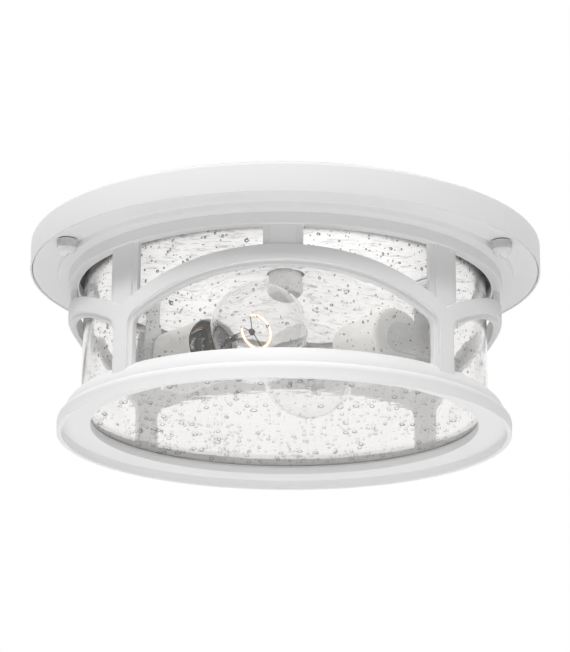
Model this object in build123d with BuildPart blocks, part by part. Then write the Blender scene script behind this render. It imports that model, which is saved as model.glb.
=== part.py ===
"""Outdoor ceiling light: a seeded-glass drum in an arched cage, held to a ceiling pan by three knobs.

Millimetres. The ceiling is the plane z = 0, the light hangs below it, and -Y is the photographed front.
"""

import os
from math import atan2, cos, degrees, radians, sin, sqrt, tan

from build123d import *

os.makedirs("parts", exist_ok=True)

# Ceiling pan, a spun dish with a well drawn down over the crossbar
gasket_thickness = 2.0
gasket_width = 29.0
gasket_inset = 5.0
pan_margin = 9.4
pan_depth = 18.4
pan_wall = 1.2
pan_corner = 2.4
well_radius = 56.0
well_depth = 6.0

# Crossbar and the centre fixing
bar_length = 106.0
bar_width = 16.0
bar_thickness = 2.0
box_screw_spacing = 88.9
box_slot_width = 4.6
box_slot_length = 12.0
nipple_diameter = 9.7
nipple_bore = 7.0
nipple_length = 26.0
thread_clearance = 0.1
locknut_width = 16.0
locknut_height = 3.4
hub_radius = 10.8
hub_length = 22.0
hub_dome = 6.0
ground_offset = 22.0
ground_head_radius = 4.0
ground_head_height = 2.2
ground_shank_radius = 1.9

# Foil-faced heat pad, pinched by the hub and slack outside it
pad_margin = 5.1
pad_drop = 8.6
pad_sag = 12.0
pad_slack_radius = 62.0
pad_round = 6.0
pad_clearance = 0.2
pad_hole_radius = 12.0

# Studs, spacers, washers and knobs
knob_count = 3
knob_first_angle = 90.0
stud_offset = 8.4
stud_radius = 2.0
stud_hole_clearance = 0.7
spacer_radius = 4.0
spacer_clearance = 0.2
washer_radius = 5.2
washer_thickness = 0.8
knob_radius = 6.0
knob_length = 10.0
knob_dome = 4.6
knob_end_wall = 3.4
knob_slot_width = 1.0
knob_slot_depth = 1.2
knob_bore_clearance = 0.15
stud_end_gap = 0.6

# Cage flange, a pressed ring with one step
flange_fit = 0.2
flange_thickness = 1.6
step_width = 6.7
step_height = 3.8
step_round = 2.0
step_draft = 0.8

# Cast cage: top ring, crown mullions, arches, posts and the moulded bottom ring
ring_gap = 3.3
ring_width = 6.5
ring_height = 7.0
ring_round = 0.9
bay_count = 4
face_setback = 0.5
mullion_setback = 0.8
lip_setback = 2.0
bar_depth = 5.5
arch_drop = 21.7
arch_radius = 228.0
arch_shoulder = 11.0
arch_band = 9.4
post_half_width = 6.0
window_lip = 3.0
mullion_half_width = 8.0
mullion_lip = 4.0
mullion_lip_depth = 1.4
mullion_inset = 0.5
bar_bite = 1.0
sill_drop = 73.4
upper_moulding_height = 10.4
upper_moulding_bulge = 1.8
sill_width = 2.5
upper_moulding_width = 7.4
lower_moulding_width = 3.7
lower_moulding_height = 4.6
lower_moulding_bulge = 1.1
rim_height = 6.0
rim_round = 0.8
rim_wall = 3.2
rim_recess = 6.0
seat_overlap = 6.5
ledge_height = 4.9
post_root = 7.0
cut_inner_share = 0.6
cut_outer_share = 1.1
crown_steps = 8

# Glass drum with its seat and clips
glass_radius = 127.7
glass_wall = 3.0
glass_floor = 3.4
glass_corner = 3.0
glass_clearance = 0.8
glass_stand = 3.6
seat_thickness = 1.0
seat_width = 3.0
seat_margin = 0.4
clip_thickness = 0.8
clip_width = 12.0
clip_reach = 3.6
clip_tail = 8.4
clip_slope = 0.72

# Screws
ring_screw_offset = 3.8
ring_screw_radius = 1.45
ring_screw_head_radius = 2.6
ring_screw_head_height = 1.8
ring_screw_depth = 5.4
foot_screw_radius = 1.9
foot_screw_head_radius = 3.6
foot_screw_head_height = 2.0
foot_screw_tip = 0.8
screw_clearance = 0.15

# Lampholders: two level lamps side by side, pointing opposite ways
lamp_count = 2
lamp_drop = 68.0
lamp_offset = 38.0
lamp_angle = 51.0
mouth_setback = 24.4
cup_radius = 19.5
cup_wall = 1.0
cup_length = 41.0
cup_round = 3.0
core_clearance = 0.2
core_recess = 4.0
core_floor = 3.9
core_bore_radius = 14.3
shell_radius = 14.1
shell_wall = 0.7
shell_floor_gap = 2.1
shell_recess = 3.0
contact_radius = 4.0
contact_height = 0.8
contact_gap = 0.1
bracket_thickness = 1.2
bracket_width = 12.0
bracket_offset = 18.0
bracket_lobe_radius = 10.0
foot_length = 22.0
foot_screw_inset = 6.0
foot_screw_spacing = 10.0
cup_screw_radius = 1.9
cup_screw_head_radius = 3.6
cup_screw_head_height = 2.0
cup_screw_grip = 2.6

# Clear bulbs
bulb_radius = 30.0
bulb_head_reach = 47.0
bulb_wall = 0.8
neck_radius = 12.2
neck_sweep = 40.0
neck_overlap = 5.0
cap_radius = 13.0
cap_wall = 0.5
cap_length = 21.0
cap_taper_height = 2.4
cap_taper = 3.4
insulator_height = 2.2
insulator_radius = 5.2
tip_radius = 3.4
tip_height = 1.6
tip_bulge = 0.5
stem_foot_radius = 8.0
stem_radius = 2.4
stem_reach = 40.0
stem_pinch = 14.0
filament_loop_radius = 11.5
filament_first_angle = 85.0
filament_gap_angle = 60.0
filament_wire = 0.35
filament_supports = 4
filament_ahead = 4.0
anchor_radius = 1.2
anchor_height = 1.4

# Radii worked out from the glass, outwards and then inwards
ring_inner_radius = glass_radius + ring_gap
ring_radius = ring_inner_radius + ring_width
ring_screw_pitch_radius = ring_inner_radius + ring_screw_offset
face_radius = ring_radius - face_setback
bar_inner_radius = face_radius - bar_depth
step_radius = ring_radius + step_width
stud_pitch_radius = step_radius + stud_offset
pan_radius = stud_pitch_radius + pan_margin
gasket_outer_radius = pan_radius - gasket_inset
gasket_inner_radius = gasket_outer_radius - gasket_width
ledge_radius = glass_radius + glass_clearance
sill_radius = ledge_radius + sill_width
cusp_radius = sill_radius + upper_moulding_width
lower_moulding_radius = cusp_radius + lower_moulding_width
rim_inner_radius = lower_moulding_radius - rim_wall
opening_radius = glass_radius - seat_overlap
pad_radius = glass_radius - pad_margin
stud_hole_radius = stud_radius + stud_hole_clearance

# Heights worked out from the sizes above
pan_top_z = -gasket_thickness
pan_under_z = pan_top_z - pan_wall
pan_rim_z = pan_top_z - pan_depth
well_floor_z = pan_top_z - well_depth
well_under_z = well_floor_z - pan_wall
pad_middle_z = well_under_z - pad_drop - pad_clearance
pad_bottom_z = pad_middle_z - pad_sag
flange_top_z = pan_rim_z + flange_thickness
step_bottom_z = pan_rim_z - step_height
step_top_z = step_bottom_z + flange_thickness
ring_bottom_z = step_bottom_z - ring_height
crown_z = ring_bottom_z - arch_drop
sill_z = ring_bottom_z - sill_drop
cusp_z = sill_z - upper_moulding_height
rim_top_z = cusp_z - lower_moulding_height
rim_bottom_z = rim_top_z - rim_height
recess_z = rim_bottom_z + rim_recess
ledge_z = recess_z + ledge_height
glass_bottom_z = ledge_z + seat_thickness
glass_top_z = step_top_z + glass_stand
knob_top_z = pan_rim_z - washer_thickness
knob_bottom_z = knob_top_z - knob_length
stud_bottom_z = knob_bottom_z + knob_end_wall + stud_end_gap
lamp_z = -lamp_drop
foot_top_z = pad_bottom_z
foot_bottom_z = foot_top_z - bracket_thickness
quarter_turn = 90
up = Vector(0, 0, 1)


def write(builder, name):
    """Label a finished piece and write it as its own file."""
    builder.part.label = name
    export_step(builder.part, f"parts/{name}.step")


def ring_face(inner_radius, outer_radius):
    """Draw an annulus in the current sketch."""
    Circle(outer_radius)
    Circle(inner_radius, mode=Mode.SUBTRACT)


def swell_point(start, end, bulge):
    """Middle point of an arc from start to end that swells to the left of its chord."""
    chord = Vector(*end) - Vector(*start)
    middle = Vector(*start) + chord / 2 + Vector(-chord.Y, chord.X).normalized() * bulge
    return (middle.X, middle.Y)


def knob_places():
    """Places of the studs and knobs on their pitch circle."""
    return PolarLocations(stud_pitch_radius, knob_count, start_angle=knob_first_angle)


# Lamp directions, mouths and backs, one set for each lamp
lamp_axes = []
lamp_outwards = []
lamp_mouths = []
lamp_backs = []
for lamp in range(lamp_count):
    heading = radians(360.0 / lamp_count * lamp - lamp_angle)
    lamp_axis = Vector(cos(heading), sin(heading), 0)
    lamp_outward = Vector(sin(heading), -cos(heading), 0)
    lamp_mouth = lamp_outward * lamp_offset - lamp_axis * mouth_setback + up * lamp_z
    lamp_axes.append(lamp_axis)
    lamp_outwards.append(lamp_outward)
    lamp_mouths.append(lamp_mouth)
    lamp_backs.append(lamp_mouth - lamp_axis * cup_length)


def foot_screw_points():
    """Places of the screws that hold both bracket feet, as points of the plan."""
    points = []
    for back, axis, outward in zip(lamp_backs, lamp_axes, lamp_outwards):
        for step in range(2):
            reach = foot_screw_inset + foot_screw_spacing * step
            place = back + outward * bracket_offset - axis * reach
            points.append((place.X, place.Y))
    return points


# Ceiling gasket of white foam
with BuildPart() as ceiling_gasket:
    with BuildSketch(Plane.XY.offset(pan_top_z)):
        ring_face(gasket_inner_radius, gasket_outer_radius)
    extrude(amount=gasket_thickness)
write(ceiling_gasket, "ceiling_gasket")

# Crossbar on the junction box
with BuildPart() as crossbar:
    with BuildSketch(Plane.XY.offset(-bar_thickness)):
        SlotOverall(bar_length, bar_width)
        Circle(nipple_diameter / 2 + thread_clearance, mode=Mode.SUBTRACT)
        with GridLocations(box_screw_spacing, 0, 2, 1):
            SlotOverall(box_slot_length, box_slot_width, mode=Mode.SUBTRACT)
        with Locations((ground_offset, 0)):
            Circle(ground_shank_radius + thread_clearance, mode=Mode.SUBTRACT)
    extrude(amount=bar_thickness)
write(crossbar, "crossbar")

# Ground screw in the crossbar
with BuildPart() as ground_screw:
    with BuildSketch(Plane.XY.offset(-bar_thickness)):
        with Locations((ground_offset, 0)):
            RegularPolygon(ground_head_radius, 6)
    extrude(amount=-ground_head_height)
    with BuildSketch(Plane.XY.offset(-bar_thickness)):
        with Locations((ground_offset, 0)):
            Circle(ground_shank_radius)
    extrude(amount=bar_thickness)
write(ground_screw, "ground_screw")

# Ceiling pan
with BuildPart() as ceiling_pan:
    with BuildSketch(Plane.XZ):
        with BuildLine():
            Polyline(
                (nipple_diameter / 2 + thread_clearance, well_floor_z),
                (well_radius, well_floor_z),
                (well_radius, pan_top_z),
                (pan_radius, pan_top_z),
                (pan_radius, pan_rim_z),
                (pan_radius - pan_wall, pan_rim_z),
                (pan_radius - pan_wall, pan_under_z),
                (well_radius + pan_wall, pan_under_z),
                (well_radius + pan_wall, well_under_z),
                (nipple_diameter / 2 + thread_clearance, well_under_z),
                close=True,
            )
        make_face()
    revolve(axis=Axis.Z)
    outer_edges = ceiling_pan.edges().filter_by(GeomType.CIRCLE).group_by(SortBy.RADIUS)[-1]
    fillet(outer_edges.sort_by(Axis.Z)[-1], pan_corner)
    with BuildSketch(Plane.XY.offset(pan_under_z)):
        with Locations(*foot_screw_points()):
            Circle(foot_screw_radius + screw_clearance)
    extrude(amount=pan_wall, mode=Mode.SUBTRACT)
write(ceiling_pan, "ceiling_pan")

# Threaded nipple through crossbar and pan
with BuildPart() as nipple:
    with BuildSketch(Plane.XY.offset(-nipple_length)):
        ring_face(nipple_bore / 2, nipple_diameter / 2)
    extrude(amount=nipple_length)
write(nipple, "nipple")

# Locknut under the pan
with BuildPart() as locknut:
    with BuildSketch(Plane.XY.offset(well_under_z)):
        RegularPolygon(locknut_width / 2, 6, major_radius=False)
        Circle(nipple_diameter / 2 + thread_clearance, mode=Mode.SUBTRACT)
    extrude(amount=-locknut_height)
write(locknut, "locknut")

# Hub cap, a round nut with a domed end
hub_top_z = well_under_z - locknut_height
hub_bottom_z = hub_top_z - hub_length
with BuildPart() as hub_cap:
    with BuildSketch(Plane.XZ):
        with BuildLine():
            Polyline(
                (0, hub_bottom_z),
                (0, -nipple_length - thread_clearance),
                (nipple_diameter / 2 + thread_clearance, -nipple_length - thread_clearance),
                (nipple_diameter / 2 + thread_clearance, hub_top_z),
                (hub_radius, hub_top_z),
                (hub_radius, hub_bottom_z + hub_dome),
            )
            hub_dome_centre = (0, hub_bottom_z + hub_dome)
            EllipticalCenterArc(hub_dome_centre, hub_radius, hub_dome, -quarter_turn, arc_size=quarter_turn)
        make_face()
    revolve(axis=Axis.Z)
write(hub_cap, "hub_cap")

# Foil-faced heat pad, stepped over the well
pad_top_z = pan_under_z - pad_clearance
pad_step_radius = well_radius + pan_wall + pad_clearance
with BuildPart() as heat_pad:
    with BuildSketch(Plane.XZ):
        with BuildLine():
            slack = Spline(
                (pad_hole_radius, pad_middle_z),
                (pad_slack_radius, pad_bottom_z),
                tangents=((1, 0), (1, 0)),
            )
            Line(slack @ 1, (pad_radius - pad_round, pad_bottom_z))
            round_centre = (pad_radius - pad_round, pad_bottom_z + pad_round)
            CenterArc(round_centre, pad_round, -quarter_turn, quarter_turn)
            Polyline(
                (pad_radius, pad_bottom_z + pad_round),
                (pad_radius, pad_top_z),
                (pad_step_radius, pad_top_z),
                (pad_step_radius, well_under_z - pad_clearance),
                (pad_hole_radius, well_under_z - pad_clearance),
                slack @ 0,
            )
        make_face()
    revolve(axis=Axis.Z)
    with BuildSketch(Plane.XY.offset(pad_bottom_z)):
        with Locations(*foot_screw_points()):
            Circle(foot_screw_radius + screw_clearance)
    extrude(amount=pad_top_z - pad_bottom_z, mode=Mode.SUBTRACT)
write(heat_pad, "heat_pad")

# Weld studs under the pan
with BuildPart() as cover_studs:
    with BuildSketch(Plane.XY.offset(pan_under_z)):
        with knob_places():
            Circle(stud_radius)
    extrude(amount=stud_bottom_z - pan_under_z)
write(cover_studs, "cover_studs")

# Spacer sleeves that set the flange's height
with BuildPart() as stud_spacers:
    with BuildSketch(Plane.XY.offset(pan_under_z)):
        with knob_places():
            Circle(spacer_radius)
            Circle(stud_radius + spacer_clearance, mode=Mode.SUBTRACT)
    extrude(amount=flange_top_z - pan_under_z)
write(stud_spacers, "stud_spacers")

# Screws of the bracket feet
with BuildPart() as foot_screws:
    with BuildSketch(Plane.XY.offset(foot_bottom_z)):
        with Locations(*foot_screw_points()):
            Circle(foot_screw_head_radius)
    extrude(amount=-foot_screw_head_height)
    with BuildSketch(Plane.XY.offset(foot_bottom_z)):
        with Locations(*foot_screw_points()):
            Circle(foot_screw_radius)
    extrude(amount=pan_top_z + foot_screw_tip - foot_bottom_z)
write(foot_screws, "foot_screws")

# Screws that hold the lampholders to their brackets
with BuildPart() as cup_screws:
    for back, axis in zip(lamp_backs, lamp_axes):
        head_plane = Plane(origin=back - axis * bracket_thickness, x_dir=up, z_dir=-axis)
        with BuildSketch(head_plane):
            Circle(cup_screw_head_radius)
        extrude(amount=cup_screw_head_height)
        with BuildSketch(head_plane):
            Circle(cup_screw_radius)
        extrude(amount=-bracket_thickness - cup_wall - cup_screw_grip)
write(cup_screws, "cup_screws")

# Lampholders, brackets and bulbs, one set for each lamp
core_back = cup_wall - cup_length
core_floor_top = core_back + core_floor
shell_front = -core_recess - shell_recess
shell_length = shell_front - core_floor_top - shell_floor_gap
tip_bottom = core_floor_top + contact_height + contact_gap
insulator_bottom = tip_bottom + tip_height
taper_bottom = insulator_bottom + insulator_height
cap_bottom = taper_bottom + cap_taper_height
cap_top = cap_bottom + cap_length
screw_hole = cup_screw_radius + screw_clearance
neck_start = cap_top - neck_overlap
filament_reach = stem_reach + filament_ahead


def across(axis, turn):
    """Direction across a lamp axis, turned by degrees from straight up."""
    return up * cos(radians(turn)) + axis.cross(up) * sin(radians(turn))


def envelope(plane, wall):
    """Bulb outline inset by a wall: a neck, a hollow sweep and a round head, closed on the axis."""
    head = bulb_radius - wall
    neck = neck_radius - wall
    sweep = neck_sweep + wall
    sweep_x = bulb_head_reach - sqrt((head + sweep) ** 2 - (neck + sweep) ** 2)
    lean = atan2(neck + sweep, bulb_head_reach - sweep_x)
    join = (bulb_head_reach - head * cos(lean), head * sin(lean))
    middle_angle = (lean + radians(90)) / 2
    middle = (sweep_x + sweep * cos(middle_angle), neck + sweep - sweep * sin(middle_angle))
    with BuildSketch(plane) as outline:
        with BuildLine():
            Polyline((neck_start + wall, 0), (neck_start + wall, neck), (sweep_x, neck))
            ThreePointArc((sweep_x, neck), middle, join)
            ThreePointArc(join, (bulb_head_reach, head), (bulb_head_reach + head, 0))
            Line((bulb_head_reach + head, 0), (neck_start + wall, 0))
        make_face()
    return outline.sketch


for lamp in range(lamp_count):
    number = lamp + 1
    mouth = lamp_mouths[lamp]
    axis = lamp_axes[lamp]
    outward = lamp_outwards[lamp]
    back = lamp_backs[lamp]
    spin = Axis(mouth, axis)
    lengthwise = Plane(origin=mouth, x_dir=axis, z_dir=axis.cross(up))
    back_plane = Plane(origin=back, x_dir=outward, z_dir=-axis)
    foot_plane = Plane(origin=(back.X, back.Y, foot_top_z), x_dir=outward, z_dir=-up)

    # Bent steel bracket: a foot on the pad, a leg, and a lobe behind the cup
    with BuildPart() as bracket:
        with BuildSketch(back_plane):
            Circle(bracket_lobe_radius)
            with Locations((bracket_offset / 2, 0)):
                Rectangle(bracket_offset, bracket_lobe_radius * 2)
            with Locations((bracket_offset, -bracket_lobe_radius)):
                Rectangle(
                    bracket_width,
                    foot_top_z - lamp_z + bracket_lobe_radius,
                    align=(Align.CENTER, Align.MIN),
                )
            Circle(screw_hole, mode=Mode.SUBTRACT)
        extrude(amount=bracket_thickness)
        with BuildSketch(foot_plane):
            with Locations((bracket_offset, 0)):
                Rectangle(bracket_width, foot_length, align=(Align.CENTER, Align.MIN))
            with Locations((bracket_offset, foot_screw_inset)):
                Circle(foot_screw_radius + screw_clearance, mode=Mode.SUBTRACT)
            with Locations((bracket_offset, foot_screw_inset + foot_screw_spacing)):
                Circle(foot_screw_radius + screw_clearance, mode=Mode.SUBTRACT)
        extrude(amount=bracket_thickness)
    write(bracket, f"lamp_bracket_{number}")

    # White enamelled cup round the lampholder
    with BuildPart() as cup:
        with BuildSketch(lengthwise):
            with BuildLine():
                Polyline(
                    (-cup_length, screw_hole),
                    (-cup_length, cup_radius),
                    (0, cup_radius),
                    (0, cup_radius - cup_wall),
                    (core_back, cup_radius - cup_wall),
                    (core_back, screw_hole),
                    close=True,
                )
            make_face()
            fillet(vertices().sort_by_distance((-cup_length, cup_radius))[0], cup_round)
            fillet(vertices().sort_by_distance((core_back, cup_radius - cup_wall))[0], cup_round - cup_wall)
        revolve(axis=spin)
    write(cup, f"lampholder_cup_{number}")

    # Dark moulded core of the lampholder
    core_radius = cup_radius - cup_wall - core_clearance
    with BuildPart() as core:
        with BuildSketch(lengthwise):
            with BuildLine():
                Polyline(
                    (core_back, screw_hole),
                    (core_back, core_radius),
                    (-core_recess, core_radius),
                    (-core_recess, core_bore_radius),
                    (core_floor_top, core_bore_radius),
                    (core_floor_top, screw_hole),
                    close=True,
                )
            make_face()
            fillet(vertices().sort_by_distance((core_back, core_radius))[0], cup_round)
        revolve(axis=spin)
    write(core, f"lampholder_core_{number}")

    # Screw shell that takes the bulb
    with BuildPart() as shell:
        with BuildSketch(lengthwise):
            with Locations((shell_front, shell_radius)):
                Rectangle(shell_length, shell_wall, align=(Align.MAX, Align.MAX))
        revolve(axis=spin)
    write(shell, f"screw_shell_{number}")

    # Centre contact on the floor of the core
    with BuildPart() as contact:
        with BuildSketch(Plane(origin=mouth + axis * core_floor_top, x_dir=up, z_dir=axis)):
            Circle(contact_radius)
        extrude(amount=contact_height)
    write(contact, f"centre_contact_{number}")

    # Bulb envelope of clear glass
    with BuildPart() as envelope_glass:
        revolve(envelope(lengthwise, 0), axis=spin)
        revolve(envelope(lengthwise, bulb_wall), axis=spin, mode=Mode.SUBTRACT)
    write(envelope_glass, f"bulb_glass_{number}")

    # Screw cap of the bulb
    with BuildPart() as cap:
        with BuildSketch(lengthwise):
            with BuildLine():
                Polyline(
                    (cap_top, cap_radius),
                    (cap_bottom, cap_radius),
                    (taper_bottom, cap_radius - cap_taper),
                    (taper_bottom, insulator_radius),
                    (taper_bottom + cap_wall, insulator_radius),
                    (taper_bottom + cap_wall, cap_radius - cap_taper - cap_wall),
                    (cap_bottom, cap_radius - cap_wall),
                    (cap_top, cap_radius - cap_wall),
                    close=True,
                )
            make_face()
        revolve(axis=spin)
    write(cap, f"bulb_cap_{number}")

    # Glass insulator at the bulb's foot
    with BuildPart() as insulator:
        with BuildSketch(lengthwise):
            with BuildLine():
                Polyline(
                    (taper_bottom + cap_wall, 0),
                    (taper_bottom + cap_wall, insulator_radius),
                    (taper_bottom, insulator_radius),
                    (taper_bottom, cap_radius - cap_taper),
                    (insulator_bottom, insulator_radius),
                    (insulator_bottom, 0),
                    close=True,
                )
            make_face()
        revolve(axis=spin)
    write(insulator, f"bulb_insulator_{number}")

    # Soldered tip of the bulb
    with BuildPart() as tip:
        with BuildSketch(lengthwise):
            tip_point = (tip_bottom, 0)
            tip_edge = (insulator_bottom, tip_radius)
            with BuildLine():
                Polyline(tip_point, (insulator_bottom, 0), tip_edge)
                ThreePointArc(tip_point, swell_point(tip_point, tip_edge, tip_bulge), tip_edge)
            make_face()
        revolve(axis=spin)
    write(tip, f"bulb_tip_{number}")

    # Glass stem inside the bulb
    with BuildPart() as stem:
        with BuildSketch(lengthwise):
            with BuildLine():
                Polyline(
                    (neck_start + bulb_wall, 0),
                    (neck_start + bulb_wall, stem_foot_radius),
                    (stem_pinch, stem_radius),
                    (stem_reach, stem_radius),
                    (stem_reach, 0),
                    close=True,
                )
            make_face()
        revolve(axis=spin)
    write(stem, f"bulb_stem_{number}")

    # Filament loop with its supports
    loop_centre = mouth + axis * filament_reach
    loop_start = across(axis, filament_first_angle)
    with BuildPart() as filament:
        with BuildSketch(Plane(origin=loop_centre, x_dir=loop_start, z_dir=axis.cross(loop_start))):
            with Locations((filament_loop_radius, 0)):
                Circle(filament_wire)
        revolve(axis=Axis(loop_centre, axis), revolution_arc=360 - filament_gap_angle)
        with BuildSketch(Plane(origin=mouth + axis * stem_reach, x_dir=up, z_dir=axis)):
            Circle(anchor_radius)
        extrude(amount=anchor_height)
        support_root = mouth + axis * (stem_reach + anchor_height / 2)
        for support in range(filament_supports):
            turn = filament_first_angle + (360 - filament_gap_angle) / (filament_supports - 1) * support
            support_end = loop_centre + across(axis, turn) * filament_loop_radius
            run = support_end - support_root
            with BuildSketch(Plane(origin=support_root, z_dir=run)):
                Circle(filament_wire)
            extrude(amount=run.length)
    write(filament, f"bulb_filament_{number}")

# Cage flange: outer annulus in the pan, one step down, inner annulus on the cast ring
flange_radius = pan_radius - pan_wall - flange_fit
with BuildPart() as cage_flange:
    with BuildSketch(Plane.XZ):
        with BuildLine():
            Polyline(
                (ring_inner_radius, step_bottom_z),
                (step_radius, step_bottom_z),
                (step_radius + step_draft, pan_rim_z),
                (flange_radius, pan_rim_z),
                (flange_radius, flange_top_z),
                (step_radius + step_draft - flange_thickness, flange_top_z),
                (step_radius - flange_thickness, step_top_z),
                (ring_inner_radius, step_top_z),
                close=True,
            )
        make_face()
        fillet(vertices().sort_by_distance((step_radius, step_bottom_z))[0], step_round)
    revolve(axis=Axis.Z)
    with BuildSketch(Plane.XY.offset(step_bottom_z)):
        with PolarLocations(ring_screw_pitch_radius, 2 * bay_count):
            Circle(ring_screw_radius + screw_clearance)
        with knob_places():
            Circle(stud_hole_radius)
    extrude(amount=flange_top_z - step_bottom_z, mode=Mode.SUBTRACT)
write(cage_flange, "cage_flange")

# Screws through the flange into the cast ring, half of them through the clips
with BuildPart() as flange_screws:
    with BuildSketch(Plane.XY.offset(step_top_z)):
        with PolarLocations(ring_screw_pitch_radius, bay_count):
            Circle(ring_screw_head_radius)
    extrude(amount=ring_screw_head_height)
    with BuildSketch(Plane.XY.offset(step_bottom_z - ring_screw_depth)):
        with PolarLocations(ring_screw_pitch_radius, bay_count):
            Circle(ring_screw_radius)
    extrude(amount=ring_screw_depth + flange_thickness)
write(flange_screws, "flange_screws")

half_bay = 180.0 / bay_count
with BuildPart() as clip_screws:
    with BuildSketch(Plane.XY.offset(step_top_z + clip_thickness)):
        with PolarLocations(ring_screw_pitch_radius, bay_count, start_angle=half_bay):
            Circle(ring_screw_head_radius)
    extrude(amount=ring_screw_head_height)
    with BuildSketch(Plane.XY.offset(step_bottom_z - ring_screw_depth)):
        with PolarLocations(ring_screw_pitch_radius, bay_count, start_angle=half_bay):
            Circle(ring_screw_radius)
    extrude(amount=ring_screw_depth + flange_thickness + clip_thickness)
write(clip_screws, "clip_screws")

# Spring clips over the glass rim
clip_heel = ring_screw_pitch_radius - ring_screw_head_radius - clip_thickness
clip_toe = glass_radius - clip_reach
clip_bend = clip_heel - glass_stand * clip_slope
with BuildPart() as one_clip:
    with BuildSketch(Plane.XZ):
        with BuildLine():
            Polyline(
                (clip_heel + clip_tail, step_top_z),
                (clip_heel, step_top_z),
                (clip_bend, glass_top_z),
                (clip_toe, glass_top_z),
                (clip_toe, glass_top_z + clip_thickness),
                (clip_bend + clip_thickness / 2, glass_top_z + clip_thickness),
                (clip_heel + clip_thickness / 2, step_top_z + clip_thickness),
                (clip_heel + clip_tail, step_top_z + clip_thickness),
                close=True,
            )
        make_face()
    extrude(amount=clip_width / 2, both=True)
    with BuildSketch(Plane.XY.offset(step_top_z)):
        with Locations((ring_screw_pitch_radius, 0)):
            Circle(ring_screw_radius + screw_clearance)
    extrude(amount=clip_thickness, mode=Mode.SUBTRACT)
with BuildPart() as glass_clips:
    with PolarLocations(0, bay_count, start_angle=half_bay):
        add(one_clip.part)
write(glass_clips, "glass_clips")


# Arched cage, drawn as one bay unrolled on the face radius and cut with radial walls
def bay_point(distance, run, height):
    """Put an unrolled point, an arc length and a height, on the upright plane at a distance from the axis."""
    return (distance * tan(run / face_radius), height)


def bay_plane(distance):
    """Upright plane square to the front at a distance from the axis."""
    return Plane(origin=(0, -distance, 0), x_dir=(1, 0, 0), z_dir=(0, -1, 0))


arch_centre_z = crown_z - arch_radius
post_run = face_radius * radians(half_bay)
post_foot_z = sill_z - post_root
cut_depths = (bar_inner_radius * cut_inner_share, face_radius * cut_outer_share)


def window_outline(distance, inset):
    """Arched window inset from the face edge: a crown arc, two shoulders and straight sides."""
    radius = arch_radius - inset
    shoulder = arch_shoulder - inset
    side = post_run - post_half_width - inset
    shoulder_run = side - shoulder
    shoulder_z = arch_centre_z + sqrt((radius - shoulder) ** 2 - shoulder_run**2)
    lean = atan2(shoulder_run, shoulder_z - arch_centre_z)
    crown = []
    for step in range(crown_steps + 1):
        turn = lean * (2.0 * step / crown_steps - 1.0)
        crown.append(bay_point(distance, radius * sin(turn), arch_centre_z + radius * cos(turn)))
    middle = (lean + radians(90)) / 2
    middle_run = shoulder_run + shoulder * sin(middle)
    middle_z = shoulder_z + shoulder * cos(middle)
    with BuildSketch(bay_plane(distance)) as outline:
        with BuildLine():
            Spline(*crown)
            for hand, spring in ((-1, crown[0]), (1, crown[-1])):
                shoulder_end = bay_point(distance, hand * side, shoulder_z)
                ThreePointArc(spring, bay_point(distance, hand * middle_run, middle_z), shoulder_end)
                Line(shoulder_end, bay_point(distance, hand * side, post_foot_z))
            Line(bay_point(distance, -side, post_foot_z), bay_point(distance, side, post_foot_z))
        make_face()
    return outline.sketch


def extrados_z(run):
    """Height of the arch's upper edge at an unrolled run."""
    return arch_centre_z + sqrt((arch_radius + arch_band) ** 2 - run**2)


def spandrel_outline(distance):
    """All of one bay above the arch, up to the top ring."""
    curve = []
    for step in range(crown_steps + 1):
        run = post_run * (2.0 * step / crown_steps - 1.0)
        curve.append(bay_point(distance, run, extrados_z(run)))
    with BuildSketch(bay_plane(distance)) as outline:
        with BuildLine():
            Spline(*curve)
            Polyline(
                curve[0],
                bay_point(distance, -post_run, ring_bottom_z),
                bay_point(distance, post_run, ring_bottom_z),
                curve[-1],
            )
        make_face()
    return outline.sketch


def bay_band(inner_radius, outer_radius, foot_z, head_z, first_run, last_run):
    """Add a plain band between two radii, two heights and two runs to the current part."""
    start = radians(-90) + first_run / face_radius
    start_plane = Plane((0, 0, 0), x_dir=(cos(start), sin(start), 0), z_dir=(sin(start), -cos(start), 0))
    with BuildSketch(start_plane) as section:
        with Locations((inner_radius, foot_z)):
            Rectangle(outer_radius - inner_radius, head_z - foot_z, align=(Align.MIN, Align.MIN))
    revolve(section.sketch, axis=Axis.Z, revolution_arc=degrees((last_run - first_run) / face_radius))


def cut_window(inset):
    """Cut the arched window with radial walls."""
    loft([window_outline(distance, inset) for distance in cut_depths], ruled=True, mode=Mode.SUBTRACT)


lip_radius = face_radius - lip_setback
with BuildPart() as cage_bay:
    bay_band(lip_radius, face_radius, post_foot_z, ring_bottom_z, -post_run, post_run)
    cut_window(0)
    bay_band(bar_inner_radius, lip_radius, post_foot_z, ring_bottom_z, -post_run, post_run)
    cut_window(window_lip)
    loft([spandrel_outline(distance) for distance in cut_depths], ruled=True, mode=Mode.SUBTRACT)

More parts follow.
